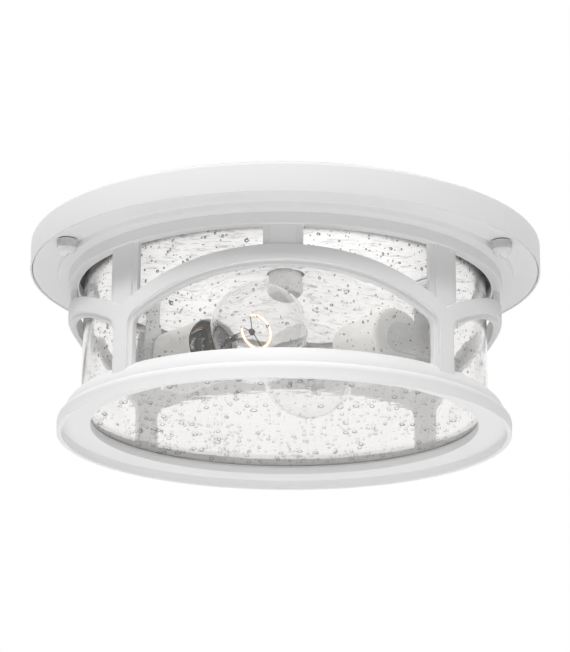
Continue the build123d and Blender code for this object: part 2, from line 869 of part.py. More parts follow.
mullion_radius = face_radius - mullion_setback
mullion_lip_radius = mullion_radius - mullion_lip_depth
mullion_back_radius = bar_inner_radius + mullion_inset
bar_steps = (
    (mullion_back_radius, mullion_lip_radius, mullion_half_width + mullion_lip, bar_bite),
    (mullion_back_radius + mullion_lip_depth, mullion_radius, mullion_half_width, bar_bite / 2),
)
with BuildPart() as cage_frame:
    with BuildSketch(Plane.XZ):
        with Locations((ring_inner_radius, ring_bottom_z)):
            Rectangle(ring_radius - ring_inner_radius, ring_height, align=(Align.MIN, Align.MIN))
        fillet(vertices().sort_by_distance((ring_radius, ring_bottom_z))[0], ring_round)
    revolve(axis=Axis.Z)
    with BuildSketch(Plane.XZ):
        sill = (sill_radius, sill_z)
        cusp = (cusp_radius, cusp_z)
        rim_top = (lower_moulding_radius, rim_top_z)
        with BuildLine():
            Line((ledge_radius, sill_z), sill)
            ThreePointArc(sill, swell_point(sill, cusp, upper_moulding_bulge), cusp)
            ThreePointArc(cusp, swell_point(cusp, rim_top, lower_moulding_bulge), rim_top)
            Polyline(
                rim_top,
                (lower_moulding_radius, rim_bottom_z),
                (rim_inner_radius, rim_bottom_z),
                (rim_inner_radius, recess_z),
                (opening_radius, recess_z),
                (opening_radius, ledge_z),
                (ledge_radius, ledge_z),
                (ledge_radius, sill_z),
            )
        make_face()
        fillet(vertices().sort_by_distance((lower_moulding_radius, rim_bottom_z))[0], rim_round)
    revolve(axis=Axis.Z)
    with PolarLocations(0, bay_count):
        add(cage_bay.part)
    for bar in range(2 * bay_count):
        bar_run = post_run * bar
        bar_foot_z = extrados_z(post_run * (bar % 2))
        for back, front, half_width, bite in bar_steps:
            first_run = bar_run - half_width
            last_run = bar_run + half_width
            bay_band(back, front, bar_foot_z - bite, ring_bottom_z + bite, first_run, last_run)
    with BuildSketch(Plane.XY.offset(step_bottom_z)):
        with PolarLocations(ring_screw_pitch_radius, 2 * bay_count):
            Circle(ring_screw_radius + screw_clearance)
    extrude(amount=-ring_screw_depth - screw_clearance, mode=Mode.SUBTRACT)
write(cage_frame, "cage_frame")

# Soft seat ring under the glass
with BuildPart() as glass_seat:
    with BuildSketch(Plane.XY.offset(ledge_z)):
        ring_face(opening_radius + seat_margin, opening_radius + seat_margin + seat_width)
    extrude(amount=seat_thickness)
write(glass_seat, "glass_seat")

# Seeded glass drum, open at the top
with BuildPart() as glass_drum:
    with BuildSketch(Plane.XY.offset(glass_bottom_z)):
        Circle(glass_radius)
    extrude(amount=glass_top_z - glass_bottom_z)
    fillet(glass_drum.edges().filter_by(GeomType.CIRCLE).sort_by(Axis.Z)[0], glass_corner)
    with BuildSketch(Plane.XY.offset(glass_bottom_z + glass_floor)):
        Circle(glass_radius - glass_wall)
    extrude(amount=glass_top_z - glass_bottom_z - glass_floor, mode=Mode.SUBTRACT)
write(glass_drum, "glass_drum")

# Knobs and their washers
for number, place in enumerate(knob_places().locations, start=1):
    centre = place.position
    stand = Plane(origin=(centre.X, centre.Y, 0), x_dir=(1, 0, 0), z_dir=(0, -1, 0))
    with BuildPart() as washer:
        with BuildSketch(Plane(origin=(centre.X, centre.Y, pan_rim_z))):
            ring_face(stud_hole_radius, washer_radius)
        extrude(amount=-washer_thickness)
    write(washer, f"knob_washer_{number}")

    bore_radius = stud_radius + knob_bore_clearance
    bore_end_z = knob_bottom_z + knob_end_wall
    with BuildPart() as knob:
        with BuildSketch(stand):
            with BuildLine():
                Polyline(
                    (0, knob_bottom_z),
                    (0, bore_end_z),
                    (bore_radius, bore_end_z),
                    (bore_radius, knob_top_z),
                    (knob_radius, knob_top_z),
                    (knob_radius, knob_bottom_z + knob_dome),
                )
                dome_centre = (0, knob_bottom_z + knob_dome)
                EllipticalCenterArc(dome_centre, knob_radius, knob_dome, -quarter_turn, arc_size=quarter_turn)
            make_face()
        revolve(axis=Axis((centre.X, centre.Y, 0), (0, 0, 1)))
        outward = Vector(centre.X, centre.Y, 0)
        with BuildSketch(Plane(origin=outward + up * knob_bottom_z, x_dir=outward, z_dir=up)):
            Rectangle(knob_slot_width, knob_radius * 2)
        extrude(amount=knob_slot_depth, mode=Mode.SUBTRACT)
    write(knob, f"knob_{number}")
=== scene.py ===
"""Looks of an outdoor ceiling light: powder-coated cage and pan, seeded glass, foil pad and clear lit bulbs.

Shapes are worked out in millimetres in the part's own frame and put into meshes in metres.
"""

from math import atan2, cos, pi, radians, sin, sqrt

import bmesh
import bpy
import numpy as np
from mathutils import Matrix, Vector


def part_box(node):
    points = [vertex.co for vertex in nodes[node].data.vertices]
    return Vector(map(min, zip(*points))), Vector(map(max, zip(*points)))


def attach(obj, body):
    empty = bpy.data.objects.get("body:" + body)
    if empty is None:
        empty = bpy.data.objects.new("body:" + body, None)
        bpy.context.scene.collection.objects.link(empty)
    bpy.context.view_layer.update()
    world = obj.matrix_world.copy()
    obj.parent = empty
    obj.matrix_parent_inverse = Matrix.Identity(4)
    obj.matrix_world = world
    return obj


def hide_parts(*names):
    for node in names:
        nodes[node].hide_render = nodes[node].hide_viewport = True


bl_info = {
    "name": "Arched Ceiling Light",
    "version": (1, 0, 0),
    "blender": (4, 5, 0),
    "location": "3D View > Sidebar > Ceiling Light",
    "description": "Dress a flush ceiling light with powder coat, seeded glass, foil and lit bulbs",
    "category": "Object",
}

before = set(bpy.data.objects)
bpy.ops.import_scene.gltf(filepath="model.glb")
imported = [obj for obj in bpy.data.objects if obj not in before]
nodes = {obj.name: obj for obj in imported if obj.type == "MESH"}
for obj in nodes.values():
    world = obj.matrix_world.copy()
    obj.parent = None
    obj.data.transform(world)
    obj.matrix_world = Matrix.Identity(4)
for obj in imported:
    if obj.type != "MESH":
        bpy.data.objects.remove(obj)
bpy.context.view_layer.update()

MM = 0.001
MERGE = 1e-7

# Pan, flange, cage, glass, pad, lamp, knob and ring sizes in millimetres and turns in degrees: as in the
# solids, with the finer forms that only the looks have
PAN_RADIUS = 162.0
PAN_TOP_Z = -2.0
PAN_RIM_Z = -20.4
PAN_SKIN = 1.2
PAN_HOLE_RADIUS = 5.0
WELL_RADIUS = 56.0
WELL_Z = -8.0
FLANGE_RADIUS = 160.5
FLANGE_SKIN = 1.6
STEP_RADIUS = 145.0
STEP_LEAN = 0.8
RING_RADIUS = 137.5
RING_BORE = 131.0
RING_TOP_Z = -24.2
RING_BOTTOM_Z = -31.2
BASE_RADIUS = 142.1
BASE_Z = -125.6
RECESS_RADIUS = 138.9
RECESS_Z = -119.6
LEDGE_RADIUS = 121.2
LEDGE_Z = -114.7
BASE_BORE = 128.5
MOULDING_TOP_Z = -104.6
MOULDING_MIDDLE = (138.4, -115.0)
UPPER_BOW = 1.8
LOWER_BOW = 1.1
WING_RUN = 12.0
WING_RADIUS = 134.8
SPINE_RUN = 8.0
SPINE_RADIUS = 136.2
UPRIGHT_BACK_RADIUS = 132.0
UPRIGHT_SINK = 1.0
FACE_RADIUS = 137.0
LIP_RADIUS = 135.0
BAR_BACK_RADIUS = 131.5
ARCH_RADIUS = 228.0
ARCH_CROWN_Z = -52.9
ARCH_BAND = 9.4
ARCH_SHOULDER = 11.0
POST_HALF_WIDTH = 6.0
WINDOW_LIP = 3.0
POST_FOOT_Z = -110.0
BAYS = 4
LAMP_HEADINGS = (-51.0, 129.0)
LAMP_OFFSET = 38.0
MOUTH_SETBACK = 24.4
LAMP_Z = -68.0
GLASS_RADIUS = 127.7
GLASS_WALL = 3.0
GLASS_TOP_Z = -19.0
GLASS_BOTTOM_Z = -113.7
GLASS_FLOOR = 3.4
GLASS_CORNER = 3.0
GLASS_HOLLOW = 2.5
GLASS_MIDDLE_RADIUS = 60.0
SEED_SMALLEST = 0.3
SEED_LARGEST = 2.2
SEED_DEPTH = 1.15
BLISTER_SPREAD = 118.5
BLISTER_LARGEST = 1.9
BLISTER_DEPTH = 1.0
PAD_RADIUS = 122.4
PAD_HOLE_RADIUS = 12.4
PAD_SLACK_RADIUS = 62.0
PAD_ROUND = 3.0
PAD_MIDDLE_Z = -18.0
PAD_SAG = 12.0
PAD_CLEARANCE = 0.6
CUP_RADIUS = 19.5
CUP_LENGTH = 41.0
CUP_SKIN = 1.0
CUP_HOLE_RADIUS = 2.05
CORE_RADIUS = 18.3
CORE_FACE = -4.0
CORE_FLOOR = -36.1
CORE_BORE = 14.3
GROOVE_OUTER = 16.6
GROOVE_INNER = 15.6
GROOVE_DEPTH = 1.4
BULB_WALL = 0.8
HEAD_RADIUS = 30.0
HEAD_REACH = 47.0
NECK_RADIUS = 12.2
NECK_SWEEP = 40.0
BULB_FOOT = -13.0
LOOP_RADIUS = 11.0
LOOP_REACH = 44.0
LOOP_START = 85.0
LOOP_TURN = 300.0
LOOP_COILS = 66
CORE_WIRE = 0.5
COIL_SWING = 1.1
COIL_WIRE = 0.19
SUPPORT_ROOT = 40.6
SUPPORT_WIRE = 0.32
STEM_BUTTON = ((0.0, 39.9), (1.6, 40.2), (1.9, 41.0), (1.4, 41.8), (0.0, 42.1))
KNOBS = 3
KNURL_RADIUS = 6.1
KNURL_BORE = 5.2
KNURL_INSET = 0.3
KNURL_LENGTH = 5.0
KNURL_SWING = 0.016
GASKET_OUTER = 157.0
GASKET_INNER = 128.0
SEAT_OUTER = 124.6
SEAT_INNER = 121.6
SEAT_TOP_Z = -113.72

# Points round a large turned piece, the pad, the drum and soft rings, a lamp's pieces and a stem's button
LARGE_TURNS = 320
PAD_TURNS = 400
RING_TURNS = 240
LAMP_TURNS = 96
BUTTON_TURNS = 24

# Camera as fitted to the photograph, in millimetres and degrees
CAMERA_DISTANCE = 1442.7
CAMERA_Z = -492.7
CAMERA_AZIMUTH = 0.6
CAMERA_PITCH = 16.992
CAMERA_ROLL = 0.376
CAMERA_LENS = 131.29

# Stage in metres: the floor, the net over the pan, and the place that the lamps face
FLOOR_RADIUS = 4.1
FLOOR_Z = -2.3
SCRIM_RADIUS = 0.166
SCRIM_Z = 0.012
LIGHT_MIDDLE = (0, 0, -0.06)

# Light of the studio from its floor (0) over its walls (a half) to its ceiling (1), beside a seen white of 1,
# and the share of light that the net over the pan lets through
FLOOR_LIGHT = 0.49
WALL_LIGHT = 0.2
CEILING_LIGHT = 0.4
SCRIM = 0.78
STUDIO_BANDS = ((0.47, FLOOR_LIGHT), (0.53, WALL_LIGHT), (0.8, WALL_LIGHT), (0.88, CEILING_LIGHT))


def linear(code):
    """Turn an sRGB hex code into linear red, green, blue and alpha."""
    values = np.array([int(code[i : i + 2], 16) for i in (0, 2, 4)]) / 255
    spread = np.where(values <= 0.04045, values / 12.92, ((values + 0.055) / 1.055) ** 2.4)
    return (*spread.tolist(), 1.0)


class CeilingLightSizes(bpy.types.PropertyGroup):
    """Sizes of the finish that a user would change."""

    wall_seeds: bpy.props.IntProperty(
        name="Wall seeds", description="Bubbles in the glass wall", default=2500, min=0
    )
    floor_seeds: bpy.props.IntProperty(
        name="Floor seeds", description="Bubbles under the glass floor", default=760, min=0
    )
    seed_radius: bpy.props.FloatProperty(
        name="Seed radius", description="Usual bubble radius", default=0.0005, unit="LENGTH"
    )
    glass_wave: bpy.props.FloatProperty(
        name="Glass wave", description="Height of the slow waves in the glass", default=0.00005, unit="LENGTH"
    )
    foil_crease: bpy.props.FloatProperty(
        name="Foil crease", description="Height of the creases in the foil", default=0.0009, unit="LENGTH"
    )
    edge_soft: bpy.props.FloatProperty(
        name="Edge softness", description="Easing of the coated edges", default=0.00045, unit="LENGTH"
    )
    knurls: bpy.props.IntProperty(name="Knurls", description="Ridges round a knob", default=44, min=8)


class CeilingLightColours(bpy.types.PropertyGroup):
    """Colours that a user would change."""

    coat: bpy.props.FloatVectorProperty(
        name="Coat", description="Powder coat", subtype="COLOR", size=4, default=linear("F4F4F4")
    )
    foil: bpy.props.FloatVectorProperty(
        name="Foil", description="Foil face of the pad", subtype="COLOR", size=4, default=linear("F4F4F4")
    )
    glow: bpy.props.FloatVectorProperty(
        name="Glow", description="Hot filament", subtype="COLOR", size=4, default=linear("FFD9A0")
    )
    floor: bpy.props.FloatVectorProperty(
        name="Floor", description="Studio floor", subtype="COLOR", size=4, default=linear("F2F2F2")
    )


def sizes():
    """The size settings of the scene."""
    return bpy.context.scene.ceiling_light_sizes


def colours():
    """The colour settings of the scene."""
    return bpy.context.scene.ceiling_light_colours


# Surfaces


def eased(corners, reach, steps=5):
    """Closed outlines with eased corners.

    Each corner c is left at a and met at b, a reach along its two sides, and becomes the parabola
    a(1-t)^2 + 2ct(1-t) + bt^2. Corners have shape (..., n, 2).
    """
    corners = np.asarray(corners, float)
    before = np.roll(corners, 1, -2) - corners
    after = np.roll(corners, -1, -2) - corners
    reach = np.broadcast_to(np.asarray(reach, float), corners.shape[:-1])[..., None]
    start = corners + before / np.linalg.norm(before, axis=-1, keepdims=True) * reach
    end = corners + after / np.linalg.norm(after, axis=-1, keepdims=True) * reach
    t = np.linspace(0, 1, steps)[:, None]
    curve = start[..., None, :] * (1 - t) ** 2
    curve = curve + 2 * corners[..., None, :] * t * (1 - t) + end[..., None, :] * t**2
    return curve.reshape(*corners.shape[:-2], -1, 2)


def bowed(start, end, bulge, steps=10):
    """Shallow arc: the chord plus 4 * bulge * t(1-t) to its left."""
    start, end = np.array(start, float), np.array(end, float)
    chord = end - start
    left = np.array([-chord[1], chord[0]]) / np.linalg.norm(chord)
    t = np.linspace(0, 1, steps)[:, None]
    return start + chord * t + left * 4 * bulge * t * (1 - t)


def turned(outline, turns, centre=(0, 0, 0), axis=(0, 0, 1), side=(1, 0, 0)):
    """Outline of (radius, height) carried round an axis: centre + radius * ring(angle) + height * axis."""
    axis, side = np.array(axis, float), np.array(side, float)
    angle = np.linspace(0, 2 * pi, turns, endpoint=False)[:, None]
    ring = np.cos(angle) * side + np.sin(angle) * np.cross(axis, side)
    radius, height = outline[..., 0, None], outline[..., 1, None]
    return np.array(centre, float) + ring[:, None] * radius + axis * height


def lathed(outline, turns, *place):
    """Closed outline turned all the way round an axis, as one shell."""
    return shell(turned(outline, turns, *place), True, True)


def block(inner, outer, low, high):
    """Corners of a plain section of a ring."""
    return ((inner, low), (outer, low), (outer, high), (inner, high))


def capped(rows):
    """Rows of a tube with a middle point added at each end, so that both ends close as fans."""
    first = np.broadcast_to(rows[:1].mean(1, keepdims=True), rows[:1].shape)
    last = np.broadcast_to(rows[-1:].mean(1, keepdims=True), rows[-1:].shape)
    return np.concatenate((first, rows, last))


def shell(points, loop_rows, loop_columns, void=False):
    """Vertices and quads of a grid of points, with faces that point out of the solid.

    The sign of the summed tetrahedra from the origin tells which way the grid's quads face.
    """
    rows, columns = points.shape[:2]
    index = np.arange(rows * columns).reshape(rows, columns)
    if loop_rows:
        index = np.concatenate((index, index[:1]))
    if loop_columns:
        index = np.concatenate((index, index[:, :1]), 1)
    quads = np.stack((index[:-1, :-1], index[1:, :-1], index[1:, 1:], index[:-1, 1:]), -1).reshape(-1, 4)
    vertices = points.reshape(-1, 3)
    local = vertices - vertices.mean(0)
    a, b, c, d = (local[quads[:, i]] for i in range(4))
    volume = np.einsum("ij,ij->", a, np.cross(b, c)) + np.einsum("ij,ij->", a, np.cross(c, d))
    if (volume < 0) != void:
        quads = quads[:, ::-1]
    return vertices, quads


def joined(shells):
    """Several shells as one list of vertices and one of quads."""
    starts = np.cumsum([0] + [len(vertices) for vertices, _ in shells[:-1]])
    vertices = np.concatenate([vertices for vertices, _ in shells])
    return vertices, np.concatenate([quads + start for (_, quads), start in zip(shells, starts)])


def put(name, body, shells, material, replaces=(), crease=40, inlay=((), None)):
    """Make a piece of closed shells, merge its seams and poles, and let it ride on a body.

    The inlay holds more shells of the same piece and their own material.
    """
    vertices, quads = joined([*shells, *inlay[0]])
    mesh = bpy.data.meshes.new(name)
    mesh.from_pydata((vertices * MM).tolist(), [], quads.tolist())
    mesh.materials.append(material)
    if inlay[0]:
        mesh.materials.append(inlay[1])
        own = sum(len(quads) for _, quads in shells)
        mesh.polygons.foreach_set("material_index", (np.arange(len(quads)) >= own).astype(np.int32))
    work = bmesh.new()
    work.from_mesh(mesh)
    bmesh.ops.remove_doubles(work, verts=work.verts, dist=MERGE)
    work.to_mesh(mesh)
    work.free()
    mesh.shade_smooth()
    mesh.set_sharp_from_angle(angle=radians(crease))
    piece = bpy.data.objects.new(name, mesh)
    bpy.context.scene.collection.objects.link(piece)
    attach(piece, body)
    if replaces:
        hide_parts(*replaces)
    return piece


def lamp_places():
    """Mouth, axis and outward direction of each lamp."""
    places = []
    for degrees in LAMP_HEADINGS:
        heading = radians(degrees)
        axis = np.array((cos(heading), sin(heading), 0.0))
        outward = np.array((sin(heading), -cos(heading), 0.0))
        mouth = outward * LAMP_OFFSET - axis * MOUTH_SETBACK + np.array((0, 0, LAMP_Z))
        places.append((mouth, axis, outward))
    return places


# Materials


def add(tree, kind, inputs=None, **settings):
    """Add a node with its settings, and fill its inputs with constants or links."""
    node = tree.nodes.new(kind)
    for name, value in settings.items():
        setattr(node, name, value)
    for name, value in (inputs or {}).items():
        if isinstance(value, bpy.types.NodeSocket):
            tree.links.new(value, node.inputs[name])
        else:
            node.inputs[name].default_value = value
    return node


def start_material(name, **values):
    """New material whose Principled shader's sockets hold the given constants, and Object coordinates."""
    material = bpy.data.materials.new(name)
    material.use_nodes = True
    tree = material.node_tree
    shader = tree.nodes["Principled BSDF"]
    for socket, value in values.items():
        shader.inputs[socket.replace("_", " ")].default_value = value
    return material, tree, shader, add(tree, "ShaderNodeTexCoord").outputs["Object"]


def per_mm(size):
    """Texture scale of a pattern whose features are this many millimetres."""
    return 1.0 / (size * MM)


def powder_coat():
    """White polyester powder, sprayed and baked: a satin skin with faint orange peel and soft edges."""
    material, tree, shader, place = start_material("powder_coat", Roughness=0.46, Specular_IOR_Level=0.4)
    cloud = add(tree, "ShaderNodeTexNoise", {"Vector": place, "Scale": per_mm(70), "Detail": 2.0})
    coat = colours().coat
    dim = tuple(c * 0.975 for c in coat[:3]) + (1.0,)
    tones = {"Factor": cloud.outputs["Fac"], "A": dim, "B": tuple(coat)}
    tint = add(tree, "ShaderNodeMix", tones, data_type="RGBA")
    tree.links.new(tint.outputs["Result"], shader.inputs["Base Color"])
    peel = add(tree, "ShaderNodeTexNoise", {"Vector": place, "Scale": per_mm(1.6), "Detail": 2.0})
    skin = {"Height": peel.outputs["Fac"], "Strength": 0.45, "Distance": 0.08 * MM}
    bump = add(tree, "ShaderNodeBump", skin)
    tree.links.new(bump.outputs["Normal"], shader.inputs["Normal"])
    return material


def pass_lamps(tree, shader):
    """Let shadow rays straight through a glass, so that the lamps light what is behind it."""
    path = add(tree, "ShaderNodeLightPath")
    clear = add(tree, "ShaderNodeBsdfTransparent")
    shadow = path.outputs["Is Shadow Ray"]
    mix = add(tree, "ShaderNodeMixShader", {0: shadow, 1: shader.outputs[0], 2: clear.outputs[0]})
    tree.links.new(mix.outputs[0], tree.nodes["Material Output"].inputs["Surface"])


def seeded_glass():
    """Clear soda-lime glass, blown: sharp, colourless, with slow shallow waves in its skin."""
    material, tree, shader, place = start_material(
        "seeded_glass",
        Base_Color=linear("F8F7F6"),
        Roughness=0.0,
        IOR=1.5,
        Transmission_Weight=1.0,
    )
    pass_lamps(tree, shader)
    wave = add(tree, "ShaderNodeTexNoise", {"Vector": place, "Scale": per_mm(9), "Detail": 2.0})
    skin = {"Height": wave.outputs["Fac"], "Strength": 0.3, "Distance": 0.1 * MM}
    bump = add(tree, "ShaderNodeBump", skin)
    tree.links.new(bump.outputs["Normal"], shader.inputs["Normal"])
    return material


def air_seed(name, bending, clear, dark, rim_shade):
    """Air bubble in the glass: clear in the middle, with a dark rim painted into its colour as painted
    reflection where the light is turned back.
    """
    material, tree, shader, _ = start_material(name, Roughness=0.0, IOR=bending, Transmission_Weight=1.0)
    pass_lamps(tree, shader)
    weight = add(tree, "ShaderNodeLayerWeight", {"Blend": 0.5})
    painted_rim = add(tree, "ShaderNodeValToRGB", {"Fac": weight.outputs["Facing"]})
    painted_rim.color_ramp.elements[0].position = clear
    painted_rim.color_ramp.elements[0].color = linear("FFFFFF")
    painted_rim.color_ramp.elements[1].position = dark
    painted_rim.color_ramp.elements[1].color = linear(rim_shade)
    tree.links.new(painted_rim.outputs["Color"], shader.inputs["Base Color"])
    return material


def crinkled_foil():
    """Aluminium foil on glass wool, crumpled and smoothed again: bright, with grey streaks of painted shade
    at its creases.
    """
    material, tree, shader, place = start_material("crinkled_foil", Metallic=0.15, Roughness=0.42)
    slant = {"Vector": place, "Scale": (0.4, 1.0, 1.0), "Rotation": (0, 0, 0.35)}
    turn = add(tree, "ShaderNodeMapping", slant)
    creases = {"Vector": turn.outputs["Vector"], "Scale": per_mm(6), "Detail": 6.0}
    creases.update({"Roughness": 0.68, "Distortion": 1.6})
    streak = add(tree, "ShaderNodeTexNoise", creases)
    # Grey at the creases is painted shade, driven by the same noise as the creases' bump
    crease_shade_ramp = add(tree, "ShaderNodeValToRGB", {"Fac": streak.outputs["Fac"]})
    crease_shade_ramp.color_ramp.elements[0].position = 0.34
    crease_shade_ramp.color_ramp.elements[0].color = linear("B4B5B5")
    crease_shade_ramp.color_ramp.elements[1].position = 0.49
    crease_shade_ramp.color_ramp.elements[1].color = tuple(colours().foil)
    tree.links.new(crease_shade_ramp.outputs["Color"], shader.inputs["Base Color"])
    skin = {"Height": streak.outputs["Fac"], "Strength": 0.5, "Distance": 0.8 * MM}
    bump = add(tree, "ShaderNodeBump", skin)
    tree.links.new(bump.outputs["Normal"], shader.inputs["Normal"])
    return material


def mottled(name, light, dark, size, grain, depth, **values):
    """A colour that drifts between two tones at one size, and a skin with a grain of another, both in mm."""
    material, tree, shader, place = start_material(name, **values)
    drift = add(tree, "ShaderNodeTexNoise", {"Vector": place, "Scale": per_mm(size), "Detail": 3.0})
    tones = {"Factor": drift.outputs["Fac"], "A": linear(dark), "B": linear(light)}
    tint = add(tree, "ShaderNodeMix", tones, data_type="RGBA")
    tree.links.new(tint.outputs["Result"], shader.inputs["Base Color"])
    fine = add(tree, "ShaderNodeTexNoise", {"Vector": place, "Scale": per_mm(grain), "Detail": 2.0})
    skin = {"Height": fine.outputs["Fac"], "Strength": 0.4, "Distance": depth * MM}
    bump = add(tree, "ShaderNodeBump", skin)
    tree.links.new(bump.outputs["Normal"], shader.inputs["Normal"])
    return material


def hot_tungsten(name, light, dark, strength):
    """Tungsten wire at working heat: dark itself, with a glow that drifts between two tones along it."""
    material, tree, shader, place = start_material(
        name, Base_Color=linear("2A2622"), Roughness=0.5, Emission_Strength=strength
    )
    drift = add(tree, "ShaderNodeTexNoise", {"Vector": place, "Scale": per_mm(3), "Detail": 1.0})
    tones = {"Factor": drift.outputs["Fac"], "A": dark, "B": light}
    tint = add(tree, "ShaderNodeMix", tones, data_type="RGBA")
    tree.links.new(tint.outputs["Result"], shader.inputs["Emission Color"])
    return material


def finish_node(name, material):
    """Give a solid its finish and shade its curved faces smooth, with its points merged only for shading."""
    piece = nodes[name]
    piece.data.materials.clear()
    piece.data.materials.append(material)
    piece.data.shade_smooth()
    weld = piece.modifiers.new("weld", "WELD")
    weld.merge_threshold = 1e-6
    split = piece.modifiers.new("split", "EDGE_SPLIT")
    split.split_angle = radians(32)


# Operators


class CEILINGLIGHT_OT_coated_metal(bpy.types.Operator):
    """Make the coated pan, flange, cage, washers and hub with eased edges"""

    bl_idname = "ceiling_light.coated_metal"
    bl_label = "Coated metal"

    def execute(self, context):
        coat = powder_coat()
        soft = sizes().edge_soft / MM
        pan = eased(
            (
                (PAN_HOLE_RADIUS, WELL_Z),
                (WELL_RADIUS, WELL_Z),
                (WELL_RADIUS, PAN_TOP_Z),
                (PAN_RADIUS, PAN_TOP_Z),
                (PAN_RADIUS, PAN_RIM_Z),
                (PAN_RADIUS - PAN_SKIN, PAN_RIM_Z),
                (PAN_RADIUS - PAN_SKIN, PAN_TOP_Z - PAN_SKIN),
                (WELL_RADIUS + PAN_SKIN, PAN_TOP_Z - PAN_SKIN),
                (WELL_RADIUS + PAN_SKIN, WELL_Z - PAN_SKIN),
                (PAN_HOLE_RADIUS, WELL_Z - PAN_SKIN),
            ),
            reach=(0.2, 1.0, 1.0, 2.0, 0.35, 0.75, 1.0, 1.0, 1.0, 0.2),
        )
        put("pan_shell", "pan", [lathed(pan, LARGE_TURNS)], coat, ["ceiling_pan"])
        flange = eased(
            (
                (RING_BORE, RING_TOP_Z),
                (STEP_RADIUS - STEP_LEAN, RING_TOP_Z),
                (STEP_RADIUS, PAN_RIM_Z),
                (FLANGE_RADIUS, PAN_RIM_Z),
                (FLANGE_RADIUS, PAN_RIM_Z + FLANGE_SKIN),
                (STEP_RADIUS - FLANGE_SKIN, PAN_RIM_Z + FLANGE_SKIN),
                (STEP_RADIUS - STEP_LEAN - FLANGE_SKIN, RING_TOP_Z + FLANGE_SKIN),
                (RING_BORE, RING_TOP_Z + FLANGE_SKIN),
            ),
            reach=(0.3, 1.0, 0.3, 1.2, 0.3, 0.5, 0.5, 0.3),
        )
        put("flange_ring", "cage", [lathed(flange, LARGE_TURNS)], coat, ["cage_flange"])
        shells = [cast_ring(soft), moulded_ring(soft)]
        for bay in range(BAYS):
            shells.append(arch_bay(bay, soft))
        for bar in range(2 * BAYS):
            shells.append(upright_bar(bar, soft))
        put("cast_cage", "cage", shells, coat, ["cage_frame"])
        # Neoprene washer, punched: dull near-black, which also paints the shadow gap above each knob as a
        # thin dark line
        shadow_line_rubber = mottled("neoprene_shadow_line", "3A3A3A", "2A2A2A", 2, 0.4, 0.02, Roughness=0.8)
        for number in range(1, KNOBS + 1):
            finish_node(f"knob_washer_{number}", shadow_line_rubber)
        # Turned aluminium, blasted and lacquered: pale grey satin, its grey darkened as painted shade on the
        # hub
        aluminium = mottled("satin_aluminium_painted_shade", "CACAC9", "B4B4B3", 4, 0.5, 0.01, Metallic=0.2, Roughness=0.5)
        finish_node("hub_cap", aluminium)
        return {"FINISHED"}


def cast_ring(soft):
    """Top ring of the cage: a plain section turned round the axis."""
    corners = block(RING_BORE, RING_RADIUS, RING_TOP_Z, RING_BOTTOM_Z)
    return lathed(eased(corners, (0.3, 0.3, 1.4 * soft, soft)), LARGE_TURNS)


def moulded_ring(soft):
    """Bottom ring: two bowed mouldings, a rim, a recess and the ledge of the glass, turned round the axis."""
    lower = eased(
        (
            (BASE_RADIUS, BASE_Z),
            (RECESS_RADIUS, BASE_Z),
            (RECESS_RADIUS, RECESS_Z),
            (LEDGE_RADIUS, RECESS_Z),
            (LEDGE_RADIUS, LEDGE_Z),
            (BASE_BORE, LEDGE_Z),
            (BASE_BORE, MOULDING_TOP_Z),
        ),
        reach=(1.3 * soft, 0.6 * soft, 0.6, soft, 0.5, 0.4, 0.3),
    )
    upper = bowed((RING_BORE, MOULDING_TOP_Z), MOULDING_MIDDLE, UPPER_BOW)
    middle = bowed(MOULDING_MIDDLE, (BASE_RADIUS, RECESS_Z), LOWER_BOW)
    outline = np.concatenate((upper, middle[1:], lower))
    return lathed(outline, LARGE_TURNS)


